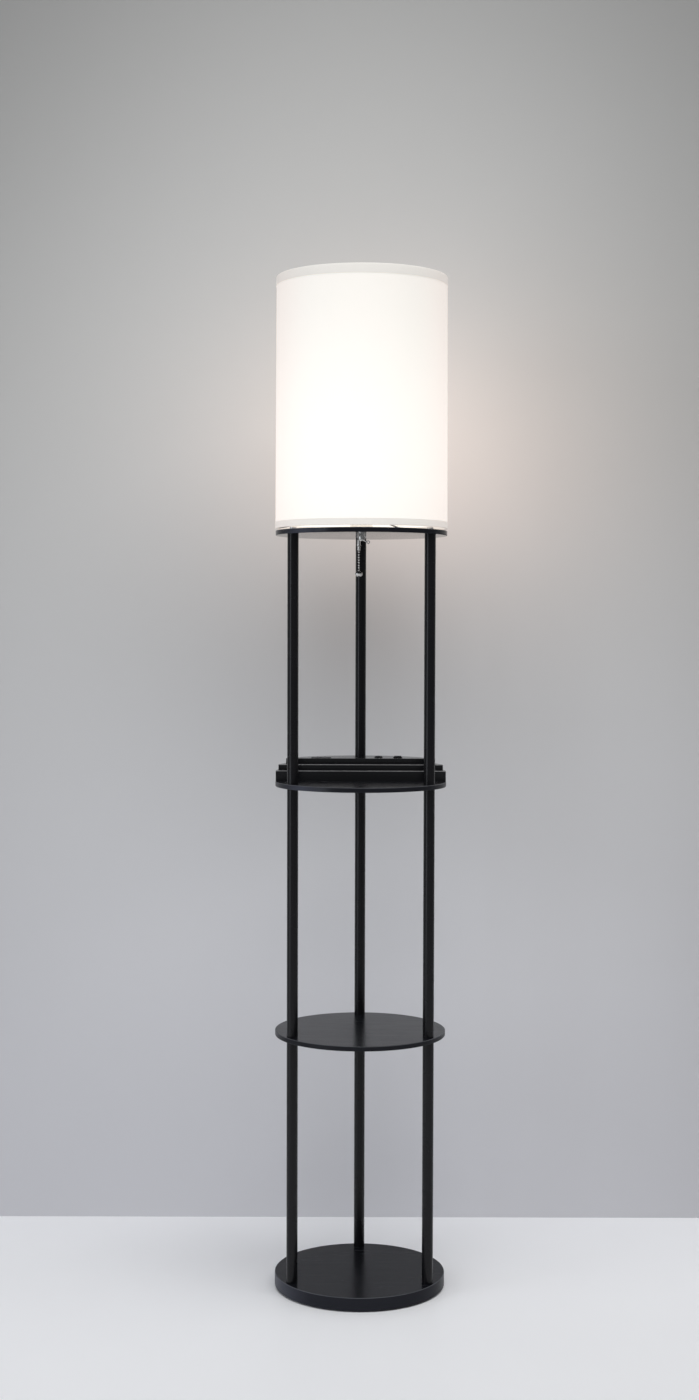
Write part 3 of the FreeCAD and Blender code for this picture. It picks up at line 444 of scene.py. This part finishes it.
def ivory_plastic(_colours):
    """Ivory moulded plastic of the lamp socket and the pull switch, with a faint painted glow that
    stands in for the bulb's light on it
    """
    made = Finish("ivory_plastic", IOR=1.5, Emission_Strength=0.4, Emission_Color=(1.0, 0.94, 0.86))
    mottle = made.noise(160.0, 4.0, 0.6)
    made.set("Base Color", made.blend(mottle, (0.79, 0.765, 0.69), (0.86, 0.835, 0.77)))
    made.set("Roughness", 0.24 + mottle * 0.12)
    made.bumps(made.noise(900.0, 2.0), distance=0.00001)
    return made


def plated(name, colour, roughness, scratches):
    """A plated or drawn metal with fine scratches, which a small number draws out along Z"""
    made = Finish(name, Metallic=1.0)
    marks = made.noise(350.0, 4.0, 0.65, made.stretched((1.0, 1.0, scratches)))
    made.set("Base Color", made.varied(marks, colour, 0.82, 1.0))
    made.set("Roughness", roughness + marks * 0.12)
    made.bumps(marks, distance=0.000008)
    return made


def zinc_steel(_colours):
    """Zinc plate on screws, nuts, washers, wire and studs"""
    return plated("zinc_steel", (0.62, 0.63, 0.65), roughness=0.26, scratches=0.2)


def bright_nickel(_colours):
    """Bright nickel on the chain, its bell, the guide and the fob"""
    return plated("bright_nickel", (0.66, 0.65, 0.63), roughness=0.2, scratches=0.4)


def yellow_brass(_colours):
    """Brass of the contacts"""
    return plated("yellow_brass", (0.78, 0.56, 0.24), roughness=0.2, scratches=0.3)


def drawn_aluminium(_colours):
    """Aluminium screw shells"""
    return plated("drawn_aluminium", (0.76, 0.77, 0.78), roughness=0.24, scratches=5.0)


def frosted_bulb(_colours):
    """White-coated bulb glass, lit: bright from its middle up, dimmer at its neck"""
    made = Finish("frosted_bulb", Roughness=0.3, Emission_Strength=3.2)
    _across, _along, up = made.axes()
    neck = BULB_CENTRE - 0.055
    bright_from = BULB_CENTRE - 0.01
    lit = made.ramp(up, neck, bright_from, 0.45, 1.0)
    powder = made.noise(700.0, 2.0)
    made.set("Base Color", made.blend(powder, (0.88, 0.87, 0.84), (0.93, 0.92, 0.9)))
    made.set("Emission Color", made.tint((1.0, 0.86, 0.66), lit * (0.97 + powder * 0.06)))
    return made


def weave(made, pitch):
    """Heights of a plain weave that runs round a drum, and its uneven threads"""
    across, along, up = made.axes()
    thread_pairs = round(2 * math.pi * PANEL_FOOT_RADIUS / pitch / 2)
    warp = (across.around(along) * float(thread_pairs)).sine()
    weft = (up * (math.pi / pitch)).sine()
    slubs = made.noise(60.0, 4.0, 0.6, made.stretched((1.0, 1.0, 14.0)))
    streaks = made.noise(60.0, 4.0, 0.6, made.stretched((14.0, 14.0, 1.0)))
    return warp * weft * 0.5 + 0.5, slubs * 0.5 + streaks * 0.5


def lit_share(made, top_share):
    """How much of the bulb's light reaches the cloth: most beside the bulb, least at the top"""
    _across, _along, up = made.axes()
    spread = 0.02
    above = made.ramp(up, BULB_CENTRE + spread, PANEL_HIGH + spread, 1.0, top_share)
    below = made.ramp(up, PANEL_LOW - spread, BULB_CENTRE - spread, 0.93, 1.0)
    return above * below


def lining_share(made):
    """The lining inside the drum is brightest at its foot and dims towards the top"""
    across, along, up = made.axes()
    tilt_x, tilt_y, _tilt_z = made.tilts()
    outwards = (across * tilt_x + along * tilt_y) > 0.0
    foot_ends = PANEL_LOW + 0.02
    dim_from = PANEL_LOW + 0.2
    inside = made.ramp(up, foot_ends, dim_from, 1.3, 0.35)
    return inside + outwards * (1.0 - inside)


def glow_of(made, colours, light):
    """The bulb's light through the cloth, a little warmer at the drum's left and right"""
    across, _along, _up = made.axes()
    middle_ends = 0.08
    warm_from = 0.14
    sides = made.ramp(across.size(), middle_ends, warm_from)
    red, green, blue = colours.glow
    warmer = (red * 1.03, green * 0.955, blue * 0.95)
    return made.blend(sides, made.tint(colours.glow, light), made.tint(warmer, light))


def lap_shadow(made):
    """The lap at the back: two layers of cloth, which pass less light"""
    across, along, _up = made.axes()
    off_seam = (along.around(across) - SEAM_ANGLE).size() * PANEL_FOOT_RADIUS
    half = bpy.context.scene.lamp_sizes.seam_width / 2
    blur = 0.0004
    return made.ramp(off_seam, half - blur, half + blur, 0.8, 1.0)


def lit_cloth(colours):
    """Off-white shade cloth, lit by the bulb behind it"""
    made = Finish("lit_cloth", Roughness=0.85, Emission_Strength=colours.glow_strength)
    threads, uneven = weave(made, pitch=0.0006)
    made.set("Base Color", made.varied(uneven, colours.cloth, 0.97, 1.02))
    drum = lit_share(made, top_share=0.75) * lap_shadow(made) * lining_share(made)
    light = drum * (0.985 + uneven * 0.02 + threads * 0.01)
    made.set("Emission Color", glow_of(made, colours, light))
    made.bumps(threads * 0.6 + uneven * 0.4, distance=0.00012)
    return made


def lit_tape(colours):
    """The tape on the shade's edges: a second layer, so it is lit less"""
    made = Finish("lit_tape", Roughness=0.85, Emission_Strength=colours.glow_strength)
    threads, uneven = weave(made, pitch=0.0005)
    made.set("Base Color", made.varied(uneven, colours.cloth, 0.96, 1.0))
    _across, _along, up = made.axes()
    light = made.ramp(up, PANEL_LOW, PANEL_HIGH, 0.56, 0.46)
    light = (light + uneven * 0.05 + threads * 0.02) * lining_share(made)
    made.set("Emission Color", glow_of(made, colours, light))
    made.bumps(threads * 0.7 + uneven * 0.3, distance=0.0001)
    return made


def lead_jacket(_colours):
    """Black jacket of the leads, matte with a little bloom"""
    made = Finish("lead_jacket", IOR=1.45)
    bloom = made.noise(120.0, 3.0)
    made.set("Base Color", made.blend(bloom, (0.012, 0.012, 0.012), (0.03, 0.03, 0.029)))
    made.set("Roughness", 0.5 + bloom * 0.15)
    return made


def pressed_felt(_colours):
    """Dark grey wool felt"""
    made = Finish("pressed_felt", Roughness=0.95)
    fuzz = made.noise(1400.0, 5.0, 0.7)
    tufts = made.noise(260.0, 3.0)
    wool = fuzz * 0.6 + tufts * 0.4
    made.set("Base Color", made.blend(wool, (0.02, 0.02, 0.021), (0.075, 0.073, 0.07)))
    made.bumps(fuzz, distance=0.0002)
    return made


FINISHES = {
    "black_board": painted_board,
    "black_steel": coated_steel,
    "black_plastic": moulded_black,
    "tray_plastic": inner_black,
    "part_plastic": device_black,
    "switch_plastic": touched_black,
    "circuit_board": solder_mask,
    "socket_plastic": ivory_plastic,
    "steel": zinc_steel,
    "chrome": bright_nickel,
    "brass": yellow_brass,
    "aluminium": drawn_aluminium,
    "bulb_glass": frosted_bulb,
    "shade_fabric": lit_cloth,
    "shade_trim": lit_tape,
    "lead_cover": lead_jacket,
    "pad_felt": pressed_felt,
}


def finish_for(slot):
    """The material of one of the record's slots, made the first time it is asked for"""
    builder = FINISHES[slot]
    known = bpy.data.materials.get(builder.__name__)
    return known or builder(bpy.context.scene.lamp_colours).material


# ---- working by hand, in code -----------------------------------------------------------------
def start_mesh():
    """Nothing else is selected or being edited when a primitive is added"""
    if bpy.context.mode != "OBJECT":
        bpy.ops.object.mode_set(mode="OBJECT")
    bpy.ops.object.select_all(action="DESELECT")


def pick(obj, kind, test):
    """In edit mode, selects the vertices, edges or faces that pass the test"""
    bpy.ops.mesh.select_mode(type=kind)
    bpy.ops.mesh.select_all(action="DESELECT")
    mesh = bmesh.from_edit_mesh(obj.data)
    parts = {"VERT": mesh.verts, "EDGE": mesh.edges, "FACE": mesh.faces}[kind]
    for part in parts:
        part.select_set(bool(test(part)))
    mesh.select_flush_mode()
    bmesh.update_edit_mesh(obj.data)


def middle(edge):
    """The point halfway along an edge"""
    return (edge.verts[0].co + edge.verts[1].co) / 2


def seat(obj):
    """Leaves the object at the origin, unturned and unscaled, with its place in its mesh"""
    start_mesh()
    obj.select_set(True)
    bpy.context.view_layer.objects.active = obj
    bpy.ops.object.transform_apply(location=True, rotation=True, scale=True)


def apply_modifier(obj, kind, **settings):
    """Adds a modifier with its settings and applies it to the mesh"""
    bpy.context.view_layer.objects.active = obj
    made = obj.modifiers.new(kind.title(), kind)
    for name, value in settings.items():
        setattr(made, name, value)
    bpy.ops.object.modifier_apply(modifier=made.name)


def smooth(obj):
    """Smooth shading, with sharp edges left crisp"""
    crisp_angle = math.radians(40.0)
    start_mesh()
    obj.select_set(True)
    bpy.context.view_layer.objects.active = obj
    bpy.ops.object.shade_smooth_by_angle(angle=crisp_angle)


def dress(obj, slot, body, *nodes):
    """Gives a finished piece its material, its body and the nodes that it stands for"""
    obj.data.materials.clear()
    obj.data.materials.append(finish_for(slot))
    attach(obj, body)
    if nodes:
        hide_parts(*nodes)


def revolve_profile(name, points, steps):
    """Draws a profile in the XZ plane by extruding a vertex, then spins it round the lamp's axis"""
    closing_distance = 0.00002
    start_mesh()
    bpy.ops.mesh.primitive_plane_add(size=0.01, location=(0.0, 0.0, 0.0))
    obj = bpy.context.object
    obj.name = name
    bpy.ops.object.mode_set(mode="EDIT")
    bpy.ops.mesh.select_mode(type="VERT")
    bpy.ops.mesh.select_all(action="SELECT")
    bpy.ops.mesh.merge(type="CENTER")
    bpy.ops.mesh.select_all(action="SELECT")
    bpy.ops.transform.translate(value=(points[0][0], 0.0, points[0][1]))
    for here, there in zip(points, points[1:]):
        step = (there[0] - here[0], 0.0, there[1] - here[1])
        bpy.ops.mesh.extrude_vertices_move(TRANSFORM_OT_translate={"value": step})
    bpy.ops.mesh.select_all(action="SELECT")
    bpy.ops.mesh.spin(steps=steps, angle=2 * math.pi, center=(0, 0, 0), axis=(0, 0, 1))
    bpy.ops.mesh.select_all(action="SELECT")
    bpy.ops.mesh.remove_doubles(threshold=closing_distance)
    bpy.ops.mesh.normals_make_consistent(inside=False)
    bpy.ops.object.mode_set(mode="OBJECT")
    return obj


# ---- shade ------------------------------------------------------------------------------------
def panel_radius(sizes, height):
    """The outside radius of the shade's panel at a height"""
    share = (height - PANEL_LOW) / (PANEL_HIGH - PANEL_LOW)
    return PANEL_FOOT_RADIUS - sizes.shade_taper * share


class LAMP_OT_shade_cloth(bpy.types.Operator):
    """Makes the shade's cloth drum, lapped over itself at the back and tucked into its two tapes"""

    bl_idname = "lamp.shade_cloth"
    bl_label = "Shade Cloth"

    def execute(self, context):
        sizes = context.scene.lamp_sizes
        rows = 28
        sides = 240
        tuck = 0.0012
        lap_lift = 0.0002
        low, high = PANEL_LOW + tuck, PANEL_HIGH - tuck
        middle_radius = PANEL_FOOT_RADIUS - sizes.cloth_thickness / 2
        start_mesh()
        bpy.ops.mesh.primitive_circle_add(
            vertices=sides, radius=middle_radius, fill_type="NOTHING", location=(0.0, 0.0, low))
        cloth = context.object
        cloth.name = "shade_cloth"
        bpy.ops.object.mode_set(mode="EDIT")
        bpy.ops.mesh.select_all(action="SELECT")
        rise = (high - low) / rows
        for row in range(rows):
            here = middle_radius - sizes.shade_taper * row / rows
            there = middle_radius - sizes.shade_taper * (row + 1) / rows
            bpy.ops.mesh.extrude_region_move(TRANSFORM_OT_translate={"value": (0.0, 0.0, rise)})
            bpy.ops.transform.resize(
                value=(there / here, there / here, 1.0), center_override=(0.0, 0.0, low))
        lap_angle = sizes.seam_width / PANEL_FOOT_RADIUS

        def in_lap(face):
            centre = face.calc_center_median()
            return abs(math.atan2(centre.y, centre.x) - SEAM_ANGLE) < lap_angle / 2

        pick(cloth, "FACE", in_lap)
        bpy.ops.mesh.duplicate()
        bpy.ops.transform.shrink_fatten(value=lap_lift)
        bpy.ops.mesh.select_all(action="SELECT")
        bpy.ops.object.mode_set(mode="OBJECT")
        apply_modifier(cloth, "SOLIDIFY", thickness=sizes.cloth_thickness, offset=0.0)
        seat(cloth)
        smooth(cloth)
        dress(cloth, "shade_fabric", "lamp", "shade_panel")
        return {"FINISHED"}


def tape_profile(sizes, edge, inward, outside_height):
    """The middle line of a tape folded over an edge and the wire ring in it: the leg that shows
    outside, two rounded corners, and the leg inside"""
    half = sizes.tape_thickness / 2
    gap = 0.00005
    ring_room = 0.0034
    fold_radius = 0.0012
    fold_steps = 4
    outside_end = edge + inward * outside_height
    inside_end = edge + inward * sizes.tape_inside_height
    outer = panel_radius(sizes, edge) + gap + half
    inner = panel_radius(sizes, edge) - sizes.cloth_thickness - ring_room - half
    crest = edge - inward * (gap + half)
    points = [(panel_radius(sizes, outside_end) + gap + half, outside_end)]
    for corner, start in ((outer - fold_radius, 0.0), (inner + fold_radius, 90.0)):
        for k in range(fold_steps + 1):
            turn = math.radians(start + 90.0 / fold_steps * k)
            across = corner + fold_radius * math.cos(turn)
            points.append((across, crest + inward * fold_radius * (1 - math.sin(turn))))
    points.append((inner, edge + inward * SLIT_HEIGHT))
    points.append((inner, inside_end))
    return points


def slit_at_spokes(tape, edge):
    """Opens the tape's inside leg where a spoke comes to the wire ring"""
    half_width = math.radians(1.0)
    inside = PANEL_FOOT_RADIUS - 0.0040
    above_fold = 0.0001

    def at_spoke(face):
        centre = face.calc_center_median()
        turned = math.atan2(centre.y, centre.x) % (2 * math.pi)
        near = any(abs(turned - spoke) < half_width for spoke in SPOKE_ANGLES)
        return near and centre.xy.length < inside and above_fold < centre.z - edge < SLIT_HEIGHT

    start_mesh()
    tape.select_set(True)
    bpy.context.view_layer.objects.active = tape
    bpy.ops.object.mode_set(mode="EDIT")
    pick(tape, "FACE", at_spoke)
    bpy.ops.mesh.delete(type="FACE")
    bpy.ops.object.mode_set(mode="OBJECT")


def make_tape(sizes, name, edge, inward, outside_height, node):
    """A tape folded over one edge of the shade; inward is 1 at the bottom edge and -1 at the top"""
    steps_round = 360
    tape = revolve_profile(name, tape_profile(sizes, edge, inward, outside_height), steps_round)
    if inward > 0:
        slit_at_spokes(tape, edge)
    apply_modifier(tape, "SOLIDIFY", thickness=sizes.tape_thickness, offset=0.0)
    seat(tape)
    smooth(tape)
    dress(tape, "shade_trim", "lamp", node)
    return tape


class LAMP_OT_shade_tapes(bpy.types.Operator):
    bl_idname = "lamp.shade_tapes"
    bl_label = "Shade Tapes"

    def execute(self, context):
        sizes = context.scene.lamp_sizes
        top = make_tape(sizes, "shade_top_tape", PANEL_HIGH, -1, sizes.top_tape_height, "shade_top_hem")
        bottom = make_tape(
            sizes, "shade_bottom_tape", PANEL_LOW, 1, sizes.bottom_tape_height, "shade_bottom_hem")
        return {"FINISHED"}


# ---- feet -------------------------------------------------------------------------------------
class LAMP_OT_felt_feet(bpy.types.Operator):
    """Makes one felt foot with a rubbed edge and copies it to each foot's place"""

    bl_idname = "lamp.felt_feet"
    bl_label = "Felt Feet"

    def execute(self, context):
        sizes = context.scene.lamp_sizes
        radius = sizes.foot_diameter / 2
        place = sizes.foot_circle * math.sqrt(0.5)
        face_margin = 0.002
        rubbed_edge = 0.0004
        start_mesh()
        bpy.ops.mesh.primitive_cylinder_add(
            vertices=48, radius=radius, depth=PAD_THICKNESS, location=(place, place, PAD_THICKNESS / 2))
        foot = context.object
        foot.name = "felt_foot_1"
        bpy.ops.object.mode_set(mode="EDIT")
        pick(foot, "FACE", lambda face: abs(face.normal.z) > 0.9)
        bpy.ops.mesh.inset(thickness=face_margin)

        def at_rim(edge):
            outside = all(vert.co.xy.length > radius * 0.98 for vert in edge.verts)
            return outside and abs(middle(edge).z) > PAD_THICKNESS * 0.4

        pick(foot, "EDGE", at_rim)
        bpy.ops.mesh.bevel(offset=rubbed_edge, segments=3)
        bpy.ops.object.mode_set(mode="OBJECT")
        seat(foot)
        smooth(foot)
        feet = [foot]
        for k in range(1, 4):
            start_mesh()
            foot.select_set(True)
            context.view_layer.objects.active = foot
            bpy.ops.object.duplicate(linked=False)
            copy = context.object
            copy.name = f"felt_foot_{k + 1}"
            bpy.ops.transform.rotate(
                value=math.radians(90.0 * k), orient_axis="Z", center_override=(0.0, 0.0, 0.0))
            seat(copy)
            feet.append(copy)
        for each in feet:
            dress(each, "pad_felt", "lamp", "foot_pads")
        return {"FINISHED"}


# ---- leads ------------------------------------------------------------------------------------
def make_lead(name, route, diameter, node):
    """A round lead that bends along a smooth line past the route's points"""
    start_mesh()
    bpy.ops.curve.primitive_nurbs_path_add(location=(0.0, 0.0, 0.0))
    lead = bpy.context.object
    lead.name = name
    lead.data.splines.clear()
    spline = lead.data.splines.new("NURBS")
    spline.points.add(len(route) - 1)
    for point, place in zip(spline.points, route):
        point.co = (*place, 1.0)
    spline.order_u = 3
    spline.use_endpoint_u = True
    spline.resolution_u = 10
    lead.data.bevel_depth = diameter / 2
    lead.data.bevel_resolution = 5
    lead.data.use_fill_caps = True
    dress(lead, "lead_cover", "lamp", node)
    return lead


class LAMP_OT_leads(bpy.types.Operator):
    """Makes the lamp lead and the pull switch's short lead"""

    bl_idname = "lamp.leads"
    bl_label = "Leads"

    def execute(self, context):
        sizes = context.scene.lamp_sizes
        lamp_lead = make_lead("lamp_lead_line", LAMP_LEAD_ROUTE, sizes.lead_diameter, "lamp_lead")
        low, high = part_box("switch_lead")
        level = (low.z + high.z) / 2
        middle_droop = 0.0015
        route = []
        for share, droop in ((0.0, 0.0), (0.3, middle_droop), (0.7, middle_droop), (1.0, 0.0)):
            route.append((0.0, low.y + (high.y - low.y) * share, level - droop))
        make_lead("switch_lead_line", route, sizes.switch_lead_diameter, "switch_lead")
        return {"FINISHED"}


# ---- finishes on the frame's own nodes --------------------------------------------------------
class LAMP_OT_node_finishes(bpy.types.Operator):
    """Gives every node of the frame the material of its slot"""

    bl_idname = "lamp.node_finishes"
    bl_label = "Node Finishes"

    def execute(self, context):
        slots = {part["node"]: part["material_slot"] for part in frame["record"]["subparts"]}
        for name, node in frame["nodes"].items():
            material = finish_for(slots[name])
            if not node.material_slots:
                node.data.materials.append(material)
            for place in node.material_slots:
                place.material = material
        return {"FINISHED"}


# ---- stage ------------------------------------------------------------------------------------
def stage_sheet(name, size, place, turn):
    """A square sheet of the stage"""
    start_mesh()
    bpy.ops.mesh.primitive_plane_add(size=size, location=place, rotation=turn)
    sheet = bpy.context.object
    sheet.name = name
    seat(sheet)
    return sheet


def wall_paint():
    """Grey wall, clear from behind, with painted light and shade: a broad painted pool of light round
    the lamp with painted shade in its middle, painted shadows behind the lamp's highest and lowest
    bays, and painted warm light near the shade"""
    made = Finish("wall_paint", Roughness=0.9)
    across, _along, up = made.axes()

    def pool(middle_height, width, height, side=0.0):
        """A soft patch on the wall, and how far it spreads"""
        return ((across - side) / width).bell() * ((up - middle_height) / height).bell()

    # painted light and shade: a broad pool of light, a dip of shade in its middle, shadows behind the
    # high and low bays, and warm light by the shade
    painted_light_pool = pool(1.18, 0.72, 1.15) * 0.5
    painted_shade_dip = pool(1.15, 0.49, 0.48) * 0.348
    painted_high_bay_shadow = pool(1.13, 0.12, 0.11) * 0.085
    painted_low_bay_shadow = pool(0.17, 0.14, 0.17) * 0.05
    painted_warm_light = pool(1.42, 0.35, 0.29, side=0.1)
    # painted shade: the wall gets darker towards the top
    foot_level = 0.55
    fall_per_metre = 0.155
    level = foot_level - up * fall_per_metre + painted_light_pool - painted_shade_dip - painted_high_bay_shadow - painted_low_bay_shadow
    # painted light: the tint goes from cool at the floor to warm up by the shade
    tone = made.blend(made.ramp(up, 0.0, 1.7), (0.99, 0.985, 1.025), (1.01, 1.0, 0.975))
    plain = made.tint(tone, level * (0.99 + made.noise(0.9, 3.0) * 0.02))
    glow = made.tint((0.30, 0.21, 0.165), painted_warm_light)
    lit = made.node("VectorMath", {"operation": "ADD"}, {0: plain, 1: glow})
    made.set("Base Color", made.output(lit))
    behind = made.output(made.node("NewGeometry"), "Backfacing")
    clear = made.node("BsdfTransparent")
    mixed = made.node("MixShader", {}, {0: behind})
    made.tree.links.new(made.shader.outputs[0], mixed.inputs[1])
    made.tree.links.new(clear.outputs[0], mixed.inputs[2])
    out = made.tree.nodes["Material Output"]
    made.tree.links.new(mixed.outputs[0], out.inputs[0])
    return made.material


def floor_paint():
    """Pale floor with a slight sheen"""
    made = Finish("floor_paint")
    clouds = made.noise(1.5, 3.0)
    made.set("Base Color", made.blend(clouds, (0.895, 0.90, 0.92), (0.935, 0.94, 0.955)))
    made.set("Roughness", 0.42 + clouds * 0.1)
    return made.material


def soft_light(name, place, aim, width, height, power, colour):
    """A rectangular light that faces a point"""
    start_mesh()
    bpy.ops.object.light_add(type="AREA", location=place)
    lamp = bpy.context.object
    lamp.name = name
    lamp.data.shape = "RECTANGLE"
    lamp.data.size = width
    lamp.data.size_y = height
    lamp.data.energy = power
    lamp.data.color = colour
    lamp.rotation_euler = (Vector(aim) - Vector(place)).to_track_quat("-Z", "Y").to_euler()


def make_camera():
    """The photograph's camera, from a fit to the rims of the boards and the shade"""
    picture_height = 1400.0
    focal_pixels = 1978.84
    sensor = 36.0
    place = Vector((-0.01934, -3.33317, 1.11933))
    pitch = 0.0373
    roll = -0.0026
    bpy.ops.object.camera_add(location=place)
    camera = bpy.context.object
    camera.data.lens = focal_pixels / picture_height * sensor
    camera.data.sensor_width = sensor
    forward = Vector((0.0, math.cos(pitch), -math.sin(pitch)))
    level_up = Vector((0.0, math.sin(pitch), math.cos(pitch)))
    side = Vector((1.0, 0.0, 0.0))
    right = side * math.cos(roll) - level_up * math.sin(roll)
    up = side * math.sin(roll) + level_up * math.cos(roll)
    turned = Matrix((right, up, -forward)).transposed().to_4x4()
    camera.matrix_world = Matrix.Translation(place) @ turned
    bpy.context.scene.camera = camera


class LAMP_OT_stage(bpy.types.Operator):
    """Sets the floor, the wall, the lights and the camera"""

    bl_idname = "lamp.stage"
    bl_label = "Stage"

    def execute(self, context):
        floor_size = 40.0
        wall_size = 12.0
        wall_distance = 0.379
        upright = (math.radians(90.0), 0.0, 0.0)
        floor = stage_sheet("floor", floor_size, (0.0, 0.0, 0.0), (0.0, 0.0, 0.0))
        floor.data.materials.append(floor_paint())
        wall = stage_sheet("wall", wall_size, (0.0, wall_distance, wall_size / 2), upright)
        wall.data.materials.append(wall_paint())
        soft_light(
            "key", place=(-3.0, -2.2, 1.35), aim=(0.0, 0.0, 1.35), width=1.1, height=2.6,
            power=30.0, colour=(0.88, 0.93, 1.0))
        soft_light(
            "overhead", place=(0.7, -1.5, 5.2), aim=(0.0, 0.0, 0.5), width=5.0, height=4.0,
            power=200.0, colour=(1.0, 1.0, 1.0))
        world = bpy.data.worlds.new("room")
        world.use_nodes = True
        background = world.node_tree.nodes["Background"]
        background.inputs["Color"].default_value = (0.95, 0.97, 1.0, 1.0)
        background.inputs["Strength"].default_value = 0.24
        context.scene.world = world
        context.scene.view_settings.view_transform = "Standard"
        make_camera()
        return {"FINISHED"}


# ---- panel and registering --------------------------------------------------------------------
OPERATORS = (
    LAMP_OT_node_finishes,
    LAMP_OT_shade_cloth,
    LAMP_OT_shade_tapes,
    LAMP_OT_felt_feet,
    LAMP_OT_leads,
    LAMP_OT_stage,
)


class LAMP_PT_pieces(bpy.types.Panel):
    """Lists the lamp's sizes, colours and operators"""

    bl_idname = "LAMP_PT_pieces"
    bl_label = "Shelf Floor Lamp"
    bl_space_type = "VIEW_3D"
    bl_region_type = "UI"
    bl_category = "Lamp"

    def draw(self, context):
        for group in (context.scene.lamp_sizes, context.scene.lamp_colours):
            column = self.layout.column()
            for name in group.__annotations__:
                column.prop(group, name)
        for operator in OPERATORS:
            self.layout.operator(operator.bl_idname)


CLASSES = (LampSizes, LampColours, *OPERATORS, LAMP_PT_pieces)


def register():
    for each in CLASSES:
        bpy.utils.register_class(each)
    bpy.types.Scene.lamp_sizes = bpy.props.PointerProperty(type=LampSizes)
    bpy.types.Scene.lamp_colours = bpy.props.PointerProperty(type=LampColours)


def unregister():
    del bpy.types.Scene.lamp_colours
    del bpy.types.Scene.lamp_sizes
    for each in reversed(CLASSES):
        bpy.utils.unregister_class(each)


def main():
    register()
    bpy.ops.lamp.stage()
    bpy.ops.lamp.leads()
    bpy.ops.lamp.node_finishes()
    bpy.ops.lamp.shade_cloth()
    bpy.ops.lamp.shade_tapes()
    bpy.ops.lamp.felt_feet()


if __name__ == "__main__":
    main()
